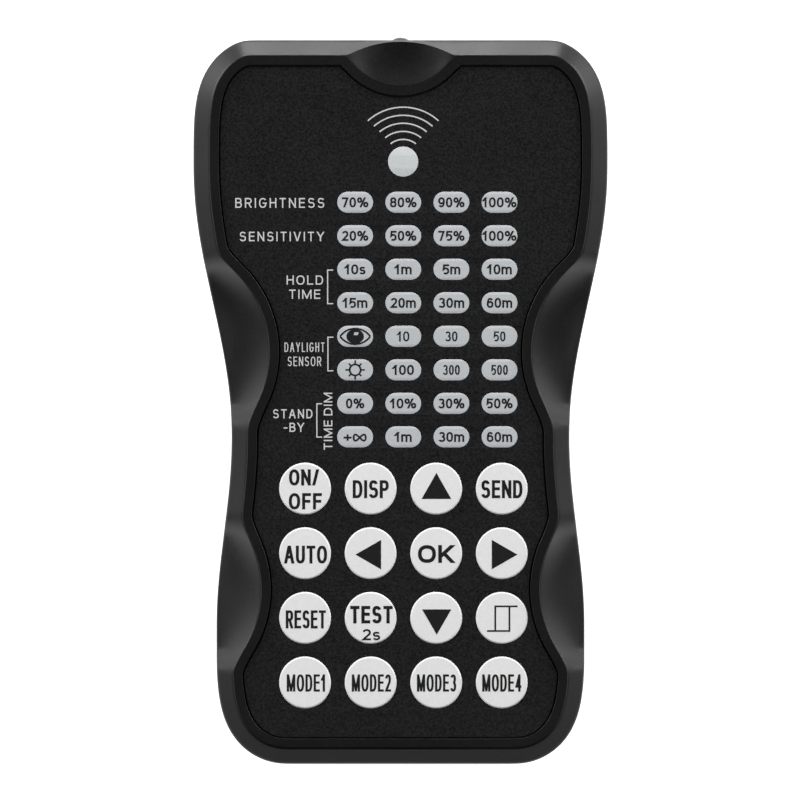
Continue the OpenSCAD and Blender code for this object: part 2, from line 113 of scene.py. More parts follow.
# %% Loft, lathe and prism
def loft(rings, closed=False):
    """A skin over rings of equal length: closed joins last to first, otherwise flat faces end it."""
    n, m = len(rings[0]), len(rings)
    faces = []
    for j in range(m if closed else m - 1):
        low, up = j * n, (j + 1) % m * n
        faces += [[low + i, low + (i + 1) % n, up + (i + 1) % n, up + i] for i in range(n)]
    if not closed:
        faces += [list(range(n)), list(range((m - 1) * n, m * n))]
    return np.vstack(rings), faces


def lathe(profile, sides=96, centre=(0, 0, 0), axis="Z"):
    """A profile of (radius, height) points turned about an axis that starts at centre."""
    corners, rows, faces = [], [], []
    for r, z in profile:
        rows.append(list(range(len(corners), len(corners) + (1 if r < 1e-6 else sides))))
        for k in range(len(rows[-1])):
            angle = math.tau * k / sides
            turned = (r * math.cos(angle), r * math.sin(angle), z)
            corners.append(turned if axis == "Z" else (turned[0], turned[2], -turned[1]))
    for low, high in zip(rows, rows[1:]):
        for k in range(sides):
            below = [low[i % len(low)] for i in (k, k + 1)]
            above = [high[i % len(high)] for i in (k + 1, k)]
            face = list(dict.fromkeys(below + above))
            if len(face) > 2:
                faces.append(face)
    return np.array(corners) + np.array(centre), faces


def rod(r, start, end, sides, centre, axis="Z"):
    """A round rod of radius r, from start to end along an axis through centre."""
    return lathe([(0, start), (r, start), (r, end), (0, end)], sides, centre, axis)


def patch(outer, *holes):
    """A flat area with holes, cut into triangles."""
    loops = [outer, *holes]
    flat = [[Vector((p[0], p[1], 0)) for p in loop] for loop in loops]
    return np.vstack(loops), [list(t) for t in tessellate_polygon(flat)]


def prism(outer, *holes, low, high):
    flat, triangles = patch(outer, *holes)
    n = len(flat)
    corners = [(*p, z) for z in (low, high) for p in flat]
    faces = [t[::-1] for t in triangles] + [[i + n for i in t] for t in triangles]
    start = 0
    for loop in (outer, *holes):
        ids = [start + k for k in range(len(loop))]
        faces += [[a, b, b + n, a + n] for a, b in zip(ids, ids[1:] + ids[:1])]
        start += len(loop)
    return corners, faces


def block(low, high):
    outline = [(low[0], low[1]), (high[0], low[1]), (high[0], high[1]), (low[0], high[1])]
    return prism(np.array(outline), low=low[2], high=high[2])


def circle(centre, r, sides=96):
    angles = np.arange(sides) * math.tau / sides
    return np.column_stack([centre[0] + r * np.cos(angles), centre[1] + r * np.sin(angles)])


# %% Bake modifiers, and add or cut solids
def bake(obj):
    bpy.context.view_layer.update()
    graph = bpy.context.evaluated_depsgraph_get()
    mesh = bpy.data.meshes.new_from_object(obj.evaluated_get(graph))
    obj.modifiers.clear()
    obj.data = mesh
    return obj


def combine_with(obj, how, tool):
    """UNION adds the tool's solid, DIFFERENCE takes it out, INTERSECT keeps what both share."""
    cut = obj.modifiers.new(how.lower(), "BOOLEAN")
    cut.operation, cut.solver, cut.object = how, "MANIFOLD", tool
    bake(obj)
    bpy.data.objects.remove(tool)


def combine(obj, how, *parts):
    combine_with(obj, how, solid("tool", *joined(parts)))


def open_edges(obj):
    work = bmesh.new()
    work.from_mesh(obj.data)
    count = sum(not edge.is_manifold for edge in work.edges)
    work.free()
    return count


# %% [markdown]
# ## Handing a piece to its body
# A finished piece is shrunk to metres, shaded smooth with crisp edges where its faces meet at a
# steep angle, given its finishes and attached to the body it moves with; the CAD parts it stands
# for are hidden. A weighted-normal modifier keeps large flat faces flat next to small rounded edges.

# %% Hand over a piece
def deliver(obj, body, slot, *finishes, stands_for=(), crisp=35):
    obj.data.transform(Matrix.Scale(MM, 4))
    obj.data.materials.clear()
    for finish in finishes:
        obj.data.materials.append(finish)
    obj.data.shade_smooth()
    obj.data.set_sharp_from_angle(angle=math.radians(crisp))
    flatten = obj.modifiers.new("flat faces stay flat", "WEIGHTED_NORMAL")
    flatten.keep_sharp = True
    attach(obj, body)
    if stands_for:
        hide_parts(*stands_for)
    print(f"{obj.name}: {len(obj.data.polygons)} faces, {open_edges(obj)} open edges, on {body}")
    return obj


# %% [markdown]
# ## Finishes
# Each finish is a small node tree on Blender's Principled shader. Moulded plastic is never one
# flat colour: the mould's spark texture breaks up the shine, and the colour drifts a little. Both
# come from noise measured in metres on the piece itself, so the grain has its real size.

# %% A finish with grain
PATCHES_PER_M = 90


def noise(nodes, links, where, scale, detail):
    node = nodes.new("ShaderNodeTexNoise")
    node.inputs["Scale"].default_value = scale
    node.inputs["Detail"].default_value = detail
    links.new(where, node.inputs["Vector"])
    return node.outputs["Fac"]


def ramp(nodes, links, value, stops):
    """A colour or grey that follows a value from 0 to 1 through (position, colour) stops."""
    node = nodes.new("ShaderNodeValToRGB")
    first, last = node.color_ramp.elements
    first.position, last.position = stops[0][0], stops[-1][0]
    elements = [first, *[node.color_ramp.elements.new(p) for p, _ in stops[1:-1]], last]
    for element, (_, colour) in zip(elements, stops):
        element.color = (*colour, 1) if len(colour) == 3 else (colour[0],) * 3 + (1,)
    links.new(value, node.inputs["Fac"])
    return node.outputs["Color"]


def new_finish(name, **sockets):
    material = bpy.data.materials.new(name)
    material.use_nodes = True
    nodes, links = material.node_tree.nodes, material.node_tree.links
    shader = nodes["Principled BSDF"]
    for socket, value in sockets.items():
        shader.inputs[socket.replace("_", " ")].default_value = value
    where = nodes.new("ShaderNodeTexCoord").outputs["Object"]
    return material, nodes, links, shader, where


def bump(nodes, links, shader, height, depth):
    node = nodes.new("ShaderNodeBump")
    node.inputs["Distance"].default_value = depth
    links.new(height, node.inputs["Height"])
    links.new(node.outputs["Normal"], shader.inputs["Normal"])


def moulded(name, dark, light, grain, grain_depth, rough, **sockets):
    """Plastic or ink: a colour between dark and light, grain of a given size and depth in metres,
    and a roughness that drifts between two values over patches of about a centimetre."""
    material, nodes, links, shader, where = new_finish(name, **sockets)
    fine = noise(nodes, links, where, 1 / grain, 3)
    links.new(ramp(nodes, links, fine, [(0.3, dark), (0.7, light)]), shader.inputs["Base Color"])
    wide = noise(nodes, links, where, PATCHES_PER_M, 4)
    links.new(ramp(nodes, links, wide, [(0.3, (rough[0],)), (0.7, (rough[1],))]), shader.inputs["Roughness"])
    bump(nodes, links, shader, fine, grain_depth)
    return material


# %% Plastics, film, ink
shell_finish = moulded(
    "shell_black", (0.001, 0.001, 0.0011), (0.0045, 0.0045, 0.0047), 0.0004, 0.00001, (0.34, 0.42),
    Specular_IOR_Level=0.23,
)
rim_finish = moulded(
    "rim_black", (0.0055, 0.0055, 0.0057), (0.0085, 0.0085, 0.0088), 0.0004, 0.000004, (0.36, 0.44),
    Specular_IOR_Level=0.15,
)
film_finish = moulded(
    "film_black", (0.0005, 0.0005, 0.0005), (0.0145, 0.0145, 0.0148), 0.00036, 0.000012, (0.46, 0.55),
    Specular_IOR_Level=0.15,
)
key_finish = moulded(
    "key_white", (0.69, 0.69, 0.695), (0.73, 0.73, 0.73), 0.0006, 0.000004, (0.4, 0.5),
    Specular_IOR_Level=0.4,
)
window_finish = moulded(
    "window_grey", (0.42, 0.437, 0.45), (0.47, 0.488, 0.5), 0.00035, 0.000004, (0.38, 0.46),
    Specular_IOR_Level=0.35,
)
status_finish = moulded(
    "status_white", (0.5, 0.522, 0.527), (0.54, 0.558, 0.563), 0.0008, 0.000003, (0.35, 0.42),
    Specular_IOR_Level=0.35,
)
black_ink = moulded(
    "black_ink", (0.006, 0.006, 0.006), (0.011, 0.011, 0.011), 0.0003, 0.000002, (0.5, 0.6),
    Specular_IOR_Level=0.15,
)
white_ink = moulded("white_ink", (0.5, 0.5, 0.5), (0.58, 0.58, 0.58), 0.00025, 0.000003, (0.5, 0.6))
print("finishes so far:", len(bpy.data.materials))

# %% [markdown]
# ## The outline of the case
# The case is a waisted shape: wide shoulders, a narrow waist, hips, and squarish round ends. Half
# of it is drawn with superellipse corners and cosine curves, cut into even steps and mirrored. A
# short running mean then takes the kinks out where one curve meets the next. The front edge
# follows a second loop, the crease, where the flat rim ends and the slope begins. Round cutters
# push the crease inward to make four finger scallops and the thumb scoop.

# %% Draw the outline
STEPS, CURVE_POINTS = 720, 240
shoulder_w, waist_w, hip_w = 70.4, 57.4, 62.6
shoulder_y, waist_y, hip_y = 40, -6, -38
top_flat, bottom_flat = 26.5, 20
top_powers, bottom_powers = (1.4, 4), (1.8, 4)


def lerp(a, b, t):
    return a + (b - a) * t


def corner(flat, side, y_side, y_end, powers, angles):
    return np.column_stack([
        lerp(flat, side, np.cos(angles) ** (2 / powers[0])),
        lerp(y_side, y_end, np.sin(angles) ** (2 / powers[1])),
    ])


def flank(w0, w1, y0, y1, t):
    return np.column_stack([lerp(w0, w1, (1 - np.cos(math.pi * t)) / 2) / 2, lerp(y0, y1, t)])


def case_outline():
    t = np.linspace(0, 1, CURVE_POINTS)
    quarter = t * (math.pi / 2 - 1e-9)
    right = np.vstack([
        [[0, -half_len]],
        corner(bottom_flat, hip_w / 2, hip_y, -half_len, bottom_powers, quarter[::-1]),
        flank(hip_w, waist_w, hip_y, waist_y, t)[1:-1],
        flank(waist_w, shoulder_w, waist_y, shoulder_y, t)[:-1],
        corner(top_flat, shoulder_w / 2, shoulder_y, half_len, top_powers, quarter),
        [[0, half_len]],
    ])
    along = np.r_[0, np.cumsum(np.hypot(*np.diff(right, axis=0).T))]
    even = np.linspace(0, along[-1], STEPS // 2 + 1)
    right = np.column_stack([np.interp(even, along, right[:, 0]), np.interp(even, along, right[:, 1])])
    return np.vstack([right, right[-2:0:-1] * [-1, 1]])


def softened(loop, neighbours=4):
    """Each point moves to a weighted mean of its neighbours, which takes the kinks out of a loop."""
    weights = {k: neighbours + 1 - abs(k) for k in range(-neighbours, neighbours + 1)}
    return sum(w * np.roll(loop, k, 0) for k, w in weights.items()) / sum(weights.values())


def inward(loop):
    """The direction into the outline at each of its points."""
    along = np.roll(loop, -1, 0) - np.roll(loop, 1, 0)
    along /= np.hypot(*along.T)[:, None]
    return np.column_stack([-along[:, 1], along[:, 0]])


case_loop = softened(case_outline())
case_in = inward(case_loop)
print(f"outline {np.ptp(case_loop[:, 0]):.2f} x {np.ptp(case_loop[:, 1]):.2f} mm in {STEPS} steps")

# %% Find the crease
bevel_w, bevel_drop, rim_w = 2.7, 2.8, 1.65
scallops = [(41.2, 8.5, 18.9), (42.6, -31.8, 18.9)]
scoop_at, scoop_r = (0, half_len + 2.4), 10.3
cuts = scallops + [(-x, y, r) for x, y, r in scallops] + [(*scoop_at, scoop_r)]
cut_blend = 2.4


def reach(cut):
    """How far a round cutter reaches in from each point of the outline."""
    to_centre = np.array(cut[:2]) - case_loop
    behind = (to_centre * case_in).sum(1)
    open_part = behind**2 - (to_centre**2).sum(1) + cut[2] ** 2
    return np.where(behind < 0, behind + np.sqrt(np.maximum(open_part, 0)), -cut[2])


def soft_max(a, b, k):
    """The larger of two values, with a soft passage of width k between them."""
    return np.maximum(a, b) + np.maximum(k - np.abs(a - b), 0) ** 2 / (4 * k)


edge_w = np.full(STEPS, bevel_w)
for cut in cuts:
    edge_w = soft_max(edge_w, reach(cut), cut_blend)
crease_loop = case_loop + edge_w[:, None] * case_in
crease_in = inward(crease_loop)
print(f"slope {edge_w.min():.2f} to {edge_w.max():.2f} mm wide")


def case_inset(w):
    return case_loop + w * case_in


def crease_inset(w):
    return crease_loop + w * crease_in


def at_height(loop, z):
    return np.column_stack([loop, np.broadcast_to(z, len(loop))])


# %% [markdown]
# ## Rings of the front edge
# Between the crease and the side wall lies the slope. It is a plain bevel along most of the case,
# and it drops lower and turns a little hollow inside a finger scallop. The thumb scoop is cut by a
# big ball instead, as a round cutter leaves it in the mould: the cut runs out before it reaches
# the case side, and what is left of the bevel goes on beyond it. The line between the two is the
# knee. `rounded` then softens corners, because a moulded part never has a knife edge.

# %% Measures of the slope
deck_t, wall, groove, tiny = 1.5, 1.8, 0.25, 0.02
deck_top, deck_z = film_under, film_under - deck_t
run_in_w, scallop_drop, scallop_hollow = 2, 6.0, 0.35
ball_r, scoop_half, scoop_run_in = 21.2, 12, 1.5
scoop_drop_inside, scoop_hollow_inside, slope_wall_t = 5.2, 0.8, 1

in_cut = np.clip((edge_w - bevel_w) / run_in_w, 0, 1)
cut_share = in_cut * in_cut * (3 - 2 * in_cut)
off_centre = np.abs(case_loop[:, 0])
at_scoop = (case_loop[:, 1] > half_len - 1) & (off_centre < scoop_half)
edge_drop = lerp(bevel_drop, np.where(at_scoop, scoop_drop_inside, scallop_drop), cut_share)
edge_hollow = cut_share * np.where(at_scoop, scoop_hollow_inside, scallop_hollow)


def fall(t):
    """How much of its drop a scallop's slope has made at share t of the way to the case side."""
    return t + edge_hollow * t * (1 - t)


def ball_depth(p):
    """How deep a big ball, centred above the scoop, cuts below the rim at points p."""
    from_middle = ((p - np.array(scoop_at)) ** 2).sum(1)
    return np.sqrt(np.maximum(ball_r**2 - from_middle, 0)) - math.sqrt(ball_r**2 - scoop_r**2)


def scoop_depth(t):
    return ball_depth(lerp(crease_loop, case_loop, t[:, None])) - ball_depth(crease_loop) * (1 - t)


def bevel_depth(t):
    return bevel_drop * (1 - (1 - t) * edge_w / bevel_w)


# %% Find the knee by halving
HALVINGS = 16
knee_first, knee_last = 0.1, 0.985
low, high = np.zeros(STEPS), np.ones(STEPS)
for _ in range(HALVINGS):
    halfway = (low + high) / 2
    in_ball = at_scoop & (scoop_depth(halfway) > bevel_depth(halfway))
    low, high = np.where(in_ball, halfway, low), np.where(in_ball, high, halfway)
nearness = np.where(at_scoop, np.clip((scoop_half - off_centre) / scoop_run_in, 0, 1), 0)
knee = lerp(0.5, np.clip(low, knee_first, knee_last), nearness)
print(f"the scoop ends {(1 - knee.max()) * edge_w.max():.2f} mm inside the case side")


# %% Slope rings and soft corners
def slope_ring(share):
    """A ring of the slope: share is 0 at the crease, 0.5 at the knee and 1 at the case side."""
    t = 2 * share * knee if share < 0.5 else knee + (2 * share - 1) * (1 - knee)
    scooped = np.maximum(np.maximum(scoop_depth(t), bevel_depth(t)), 0)
    depth = np.where(at_scoop, scooped, edge_drop * fall(t))
    return at_height(lerp(crease_loop, case_loop, t[:, None]), case_h - depth)


def slope_ring_inside(t):
    drop = edge_drop + slope_wall_t - (case_h - deck_z)
    return at_height(lerp(crease_inset(rim_w), case_inset(wall), t), deck_z - tiny - drop * fall(t))


def toward(ring, other, r):
    step = other - ring
    length = np.linalg.norm(step, axis=1)[:, None]
    return ring + step / length * np.minimum(r, 0.9 * length)


def rounded(profile, steps=5):
    """Rings of a profile of (ring, radius) pairs, with a Bezier arc in place of each corner with a radius."""
    rings = []
    for k, (ring, r) in enumerate(profile):
        if not r:
            rings.append(ring)
            continue
        start = toward(ring, profile[k - 1][0], r)
        end = toward(ring, profile[(k + 1) % len(profile)][0], r)
        for t in np.linspace(0, 1, steps + 1):
            rings.append((1 - t) ** 2 * start + 2 * t * (1 - t) * ring + t**2 * end)
    return rings


# %% [markdown]
# ## Front shell
# The front shell is a ring-shaped wall, a deck that carries the film, and four hollow bosses for
# the case screws. The wall is one closed loft. The deck and the bosses are added to it, and the
# screw holes and the lamp's hole are cut out, with the manifold Boolean solver, which is quick and
# clean as long as every part is a closed solid. The flat rim catches the light differently from
# the spark-textured slope, so its faces get a finish of their own.

# %% Positions of keys and windows
key_names = [
    ["on_off", "display", "up", "send"],
    ["auto", "left", "ok", "right"],
    ["reset", "test", "down", "step"],
    ["mode_1", "mode_2", "mode_3", "mode_4"],
]
key_boxes = {name: box_mm("key_" + name) for row in key_names for name in row}
key_at = {name: (low + high)[:2] / 2 for name, (low, high) in key_boxes.items()}
key_top = round(float(key_boxes["ok"][1][2]), 3)

pill_l = 6.08
window_rows = [
    ("brightness_windows", 1), ("sensitivity_windows", 1), ("hold_time_windows", 2),
    ("daylight_windows", 2), ("standby_windows", 2),
]
pill_w = float(np.ptp(box_mm("brightness_windows"), axis=0)[1])
window_top = round(float(box_mm("status_window")[1][2]), 3)


def pill_centres(node, rows):
    low, high = box_mm(node)
    xs = np.linspace(low[0] + pill_l / 2, high[0] - pill_l / 2, 4)
    ys = [high[1] - pill_w / 2, low[1] + pill_w / 2][:rows]
    return [(x, y) for y in ys for x in xs]


pills = {node: pill_centres(node, rows) for node, rows in window_rows}
status_low, status_high = box_mm("status_window")
status_at = (status_low + status_high)[:2] / 2
status_r = float(status_high[0] - status_low[0]) / 2
print("keys:", len(key_at), "windows:", sum(map(len, pills.values())))
print("status window at", status_at.round(2))


def pill_outline(centre, grow=0.0, sides=24):
    r, half = pill_w / 2 + grow, (pill_l - pill_w) / 2
    angles = np.linspace(-math.pi / 2, math.pi / 2, sides + 1)
    right = np.column_stack([half + r * np.cos(angles), r * np.sin(angles)])
    return np.vstack([right, -right]) + centre


# %% Build the front shell
posts = [(27.5, 47), (-27.5, 47), (23.8, -53), (-23.8, -53)]
window_gap = 0.05
deck_hole_r, deck_overlap = 4.65, 0.5
boss_r, pilot_r, pilot_low, pilot_high = 2.7, 1.1, 8.5, 15.5
lamp_back = round(float(box_mm("ir_lamp")[0][1]), 3)
lamp_hole_r, lamp_hole_len = 2.6, 12
side_r, crease_r, rim_r, groove_r = 0.45, 0.25, 0.12, 0.1
slope_shares = [1, 0.86, 0.74, 0.62, 0.5, 0.38, 0.26, 0.14, 0]
all_pills = [centre for group in pills.values() for centre in group]


def window_holes(gap):
    return [pill_outline(c, gap) for c in all_pills] + [circle(status_at, status_r + gap)]


def lamp_hole():
    return rod(lamp_hole_r, 0, lamp_hole_len, 64, (0, lamp_back, parting_z), "Y")


wall_profile = [
    (at_height(case_inset(groove), parting_z), 0),
    (at_height(case_loop, parting_z + groove), groove_r),
    *[(slope_ring(t), {1: side_r, 0: crease_r}.get(t, 0)) for t in slope_shares],
    (at_height(crease_inset(rim_w), case_h), rim_r),
    *[(slope_ring_inside(t), 0) for t in (0, 0.33, 0.67, 1)],
    (at_height(case_inset(wall), parting_z), 0),
]
front = solid("front_shell_moulding", *loft(rounded(wall_profile), closed=True))
deck_holes = [circle(centre, deck_hole_r, 64) for centre in key_at.values()] + window_holes(window_gap)
deck = prism(crease_inset(rim_w - deck_overlap), *deck_holes, low=deck_z, high=deck_top)
combine(front, "UNION", deck)
combine(front, "UNION", *[rod(boss_r, parting_z, deck_z + 0.1, 48, (*p, 0)) for p in posts])
screw_holes = [rod(pilot_r, pilot_low, pilot_high, 32, (*p, 0)) for p in posts]
combine(front, "DIFFERENCE", *screw_holes, lamp_hole())

# %% Give the rim its own finish
deliver(front, "case", "shell_black", shell_finish, rim_finish, stands_for=["front_shell"])
rim_faces = [f for f in front.data.polygons if f.normal.z > 0.999 and f.center.z > (case_h - 0.01) * MM]
for face in rim_faces:
    face.material_index = 1
print("rim faces:", len(rim_faces))

# %% [markdown]
# ## Rear shell
# The back is a shallow tray with a large radius all round, so that it sits well in a hand. It
# carries the locating lip, the screw posts and the walls of the cell bay. The battery door's path
# is cut out of it with a small gap all round, which shows as a fine line on the real one.

# %% Build the rear shell
bay_y0, bay_y1 = (round(float(corner[1]), 3) for corner in box_mm("contact_plates"))
door_end_half, door_y1, door_end_h = (round(float(v), 3) for v in box_mm("battery_door")[1])
bay_in, bay_wall_t, bay_top, end_wall_low = 13.5, 1.2, 12.2, 2.8
door_half, door_t, door_gap, past_end = 12.05, 1.5, 0.15, -70
back_w, back_h, floor_t = 4, 4.5, 1.6
lip_gap, lip_in, lip_up = 0.1, 1, 1.4
screw_post_r, head_r, head_mouth_r, shank_r, head_seat, shank_top = 3.2, 2.25, 2.5, 1.25, 6, 11.5


def back_ring(angle):
    a = math.radians(angle)
    return at_height(case_inset(back_w * (1 - math.sin(a))), back_h * (1 - math.cos(a)))


def back_ring_inside(angle):
    a = math.radians(angle)
    return at_height(
        case_inset(lerp(wall, back_w + 1, 1 - math.sin(a))), lerp(floor_t, back_h + 0.5, 1 - math.cos(a))
    )


rear_outer = [
    *[(back_ring(a), 0) for a in np.linspace(0, 90, 13)],
    (at_height(case_loop, parting_z - groove), groove_r),
    (at_height(case_inset(groove), parting_z), 0),
]
tray_profile = rear_outer + [
    (at_height(case_inset(wall + lip_gap), parting_z), 0),
    (at_height(case_inset(wall + lip_gap), parting_z + lip_up), 0),
    (at_height(case_inset(wall + lip_in), parting_z + lip_up), 0),
    (at_height(case_inset(wall + lip_in), parting_z - 1), 0),
    (at_height(case_inset(wall), parting_z - 2), 0),
    *[(back_ring_inside(a), 0) for a in np.linspace(90, 0, 7)],
    (at_height(case_inset(back_w + 1), 0), 0),
]


def door_path(gap):
    return (
        block((-door_half - gap, past_end, -1), (door_half + gap, door_y1 + gap, floor_t + 1)),
        block((-door_end_half - gap, past_end, -1), (door_end_half + gap, bay_y0, door_end_h + gap)),
    )


rear = solid("rear_shell_moulding", *loft(rounded(tray_profile), closed=True))
combine(rear, "UNION", prism(case_inset(back_w + 0.6), low=0, high=floor_t))
for cutter in door_path(door_gap):
    combine(rear, "DIFFERENCE", cutter)
bay_out, bay_end0, bay_end1 = bay_in + bay_wall_t, bay_y0 - bay_wall_t, bay_y1 + bay_wall_t
for low, high in [
    ((-bay_out, bay_end0, floor_t - tiny), (-bay_in, bay_end1, bay_top)),
    ((bay_in, bay_end0, floor_t - tiny), (bay_out, bay_end1, bay_top)),
    ((-bay_in - tiny, bay_y1, floor_t - tiny), (bay_in + tiny, bay_end1, bay_top)),
    ((-bay_in - tiny, bay_end0, end_wall_low), (bay_in + tiny, bay_y0, bay_top)),
]:
    combine(rear, "UNION", block(low, high))
combine(rear, "UNION", *[rod(screw_post_r, floor_t - tiny, parting_z, 48, (*p, 0)) for p in posts])
recess = [
    (0, -1), (head_mouth_r, -1), (head_mouth_r, 0), (head_r, head_mouth_r - head_r),
    (head_r, head_seat), (shank_r, head_seat), (shank_r, shank_top), (0, shank_top),
]
combine(rear, "DIFFERENCE", *[lathe(recess, 48, (*p, 0)) for p in posts], lamp_hole())
deliver(rear, "case", "shell_black", shell_finish, stands_for=["rear_shell"])

# %% [markdown]
# ## Battery door
# The door is a piece of the same curved back: the solid inside the rear surface is cut down to the
# door's plate and the end piece that wraps the lower edge. Two rails slide in the bay's edges, and
# five grooves with round ends give the thumb a hold. The door rides on its own body.

# %% Build the battery door
door = solid("battery_door_moulding", *loft(rounded(rear_outer[:-1]) + [rear_outer[-1][0]]))
foot_y1 = bay_y0 - door_gap - 0.1
keep = solid("keep", *block((-door_half, past_end, -1), (door_half, door_y1, door_t)))
combine(keep, "UNION", block((-door_end_half, past_end, -1), (door_end_half, wall - half_len, door_end_h)))
combine(keep, "UNION", block((-door_end_half, past_end, -1), (door_end_half, foot_y1, door_t)))
combine_with(door, "INTERSECT", keep)

rail_in, rail_out, rail_low, rail_high, rail_short = 11.2, 13.2, 1.75, 2.5, 2
rail = (rail_in, rail_out, rail_low, rail_high)
rail_neck = (rail_in, door_half - 0.1, door_t - 0.1, rail_low + 0.1)
for side in (-1, 1):
    for x0, x1, z0, z1 in (rail, rail_neck):
        xs = sorted((side * x0, side * x1))
        combine(door, "UNION", block((xs[0], bay_y0 + rail_short, z0), (xs[1], door_y1 - rail_short, z1)))

# %% Press the grip grooves
grips, grip_y0, grip_pitch, grip_r, grip_half = 5, -20, 2.4, 0.6, 7.0
arc_angles = np.linspace(0, math.pi / 2, 7)
capsule = [(grip_r * math.sin(a), -grip_half - grip_r * math.cos(a) + grip_r) for a in arc_angles]
capsule += [(r, -h) for r, h in capsule[::-1]]


def groove_tool(y):
    """A round-ended rod that lies across the door at y."""
    corners, faces = lathe(capsule, 24)
    return np.column_stack([corners[:, 2], corners[:, 1] + y, -corners[:, 0]]), faces


combine(door, "DIFFERENCE", *[groove_tool(grip_y0 + grip_pitch * k) for k in range(grips)])
deliver(door, "door", "shell_black", shell_finish, stands_for=["battery_door"])

# %% [markdown]
# ## Graphic film
# The film is a printed sheet 0.4 mm thick that lies in the rim's recess, with a hole for each key
# and each window. A flat curve with holes, extruded and given a tiny round edge, makes such a
# stamped sheet better than a Boolean would: every edge gets the same softness.

# %% A plate with soft edges
def plate(name, loops, low, high, edge):
    curve = bpy.data.curves.new(name, "CURVE")
    curve.dimensions, curve.fill_mode = "2D", "BOTH"
    for loop in loops:
        spline = curve.splines.new("POLY")
        spline.points.add(len(loop) - 1)
        flat_points = np.column_stack([loop, np.zeros(len(loop)), np.ones(len(loop))])
        spline.points.foreach_set("co", flat_points.ravel())
        spline.use_cyclic_u = True
    curve.extrude, curve.bevel_depth, curve.offset = (high - low) / 2 - edge, edge, -edge
    curve.bevel_resolution = 2
    flat = in_scene(name, curve)
    bpy.context.view_layer.update()
    mesh = bpy.data.meshes.new_from_object(flat.evaluated_get(bpy.context.evaluated_depsgraph_get()))
    bpy.data.objects.remove(flat)
    mesh.transform(Matrix.Translation((0, 0, (low + high) / 2)))
    work = bmesh.new()
    work.from_mesh(mesh)
    bmesh.ops.remove_doubles(work, verts=work.verts, dist=1e-4)
    bmesh.ops.recalc_face_normals(work, faces=work.faces)
    work.to_mesh(mesh)
    work.free()
    return in_scene(name, mesh)


# %% Cut the film
film_gap, film_edge, key_hole_d = 0.25, 0.04, 9.0
film_loops = [
    crease_inset(rim_w + film_gap),
    *[circle(centre, key_hole_d / 2) for centre in key_at.values()],
    *window_holes(window_gap),
]
film = plate("graphic_film", film_loops, film_under, film_top, film_edge)
deliver(film, "case", "film_black", film_finish, stands_for=["graphic_overlay"])

# %% [markdown]
# ## Windows
# Light pipes of frosted plastic fill the window holes and stand a hair above the film. Their upper
# edges are slightly rounded, so each one catches a thin line of light. One plate per window makes
# a group, and each group stands for one CAD part.

# %% Make the windows
pill_edge, status_edge = 0.07, 0.09
for node, centres in pills.items():
    low, high = box_mm(node)
    outlines = [pill_outline(c) for c in centres]
    group = plate(node.replace("_windows", "_light_pipes"), outlines, low[2], high[2], pill_edge)
    deliver(group, "case", "window_grey", window_finish, stands_for=[node])
status_outline = circle(status_at, status_r)
status = plate("status_light_pipe", [status_outline], status_low[2], status_high[2], status_edge)
deliver(status, "case", "status_white", status_finish, stands_for=["status_window"])

# %% [markdown]
# ## Keys
# A key is a turned shape: a thin cap with a rounded edge, a skirt with a flange that keeps it under
# the deck, and a post that rests on its switch. The lathe helper turns one profile sixteen times,
# and each key rides on its own body, so it can be pressed.

# %% Turn the keys
key_r, edge_r = 4.43, 0.32
flange_r, flange_top, flange_t = 5.15, deck_z - 0.2, 0.5
key_foot = round(float(key_boxes["ok"][0][2]), 3)
key_post_r, skirt_in_r, roof = 1.5, 3.6, key_top - 1.2
edge_arc = [
    (key_r - edge_r + edge_r * math.cos(a), key_top - edge_r + edge_r * math.sin(a))
    for a in np.linspace(0, math.pi / 2, 8)
]
key_profile = [
    (0, key_foot), (key_post_r, key_foot), (key_post_r, roof), (skirt_in_r, roof),
    (skirt_in_r, flange_top - flange_t), (flange_r, flange_top - flange_t), (flange_r, flange_top),
    (key_r, flange_top), *edge_arc, (0, key_top),
]
for name, centre in key_at.items():
    key = solid("cap_" + name, *lathe(key_profile, 96, (*centre, 0)))
    deliver(key, name + "_button", "key_white", key_finish, stands_for=["key_" + name])

# %% [markdown]
# ## A plain alphabet
# The keys, the windows and the film carry printed function words, numbers and signs. They are
# generic lettering, so a plain alphabet is drawn here: each letter is a few strokes in a box from
# (0, 0) to (1, 1). A word is fitted to its width and height first and inked after that with a pen
# of even width, which keeps condensed letters as bold as wide ones. A squeezed font can't do that.

# %% Strokes of the alphabet
def bow(x, y, rx, ry, start, end):
    """Part of a squarish oval, from one angle to another."""
    angles = np.radians(np.linspace(start, end, max(4, round(abs(end - start) / 10) + 1)))
    c, s = np.cos(angles), np.sin(angles)
    power = 2 / 2.35
    return list(zip(x + rx * np.sign(c) * np.abs(c) ** power, y + ry * np.sign(s) * np.abs(s) ** power))


def line(*points):
    return points, "level"


def loop(*points):
    return points, "closed"


def oval(x, y, rx, ry):
    return bow(x, y, rx, ry, 0, 360)[:-1], "closed"


upper_bowl = [*bow(0.55, 0.74, 0.45, 0.26, 90, -90)]
ess = [*bow(0.5, 0.755, 0.45, 0.245, 18, 260), *bow(0.5, 0.265, 0.5, 0.265, 80, -162)]
small_ess = [(x, 0.72 * y) for x, y in ess]
six = [*bow(0.52, 0.5, 0.5, 0.5, 40, 178), *bow(0.5, 0.31, 0.5, 0.31, 180, 180.1)[:1]]
t = np.linspace(0, math.tau, 49)[:-1]
infinity = list(zip(0.5 + 0.5 * np.cos(t), 0.42 + 0.75 * np.sin(t) * np.cos(t)))

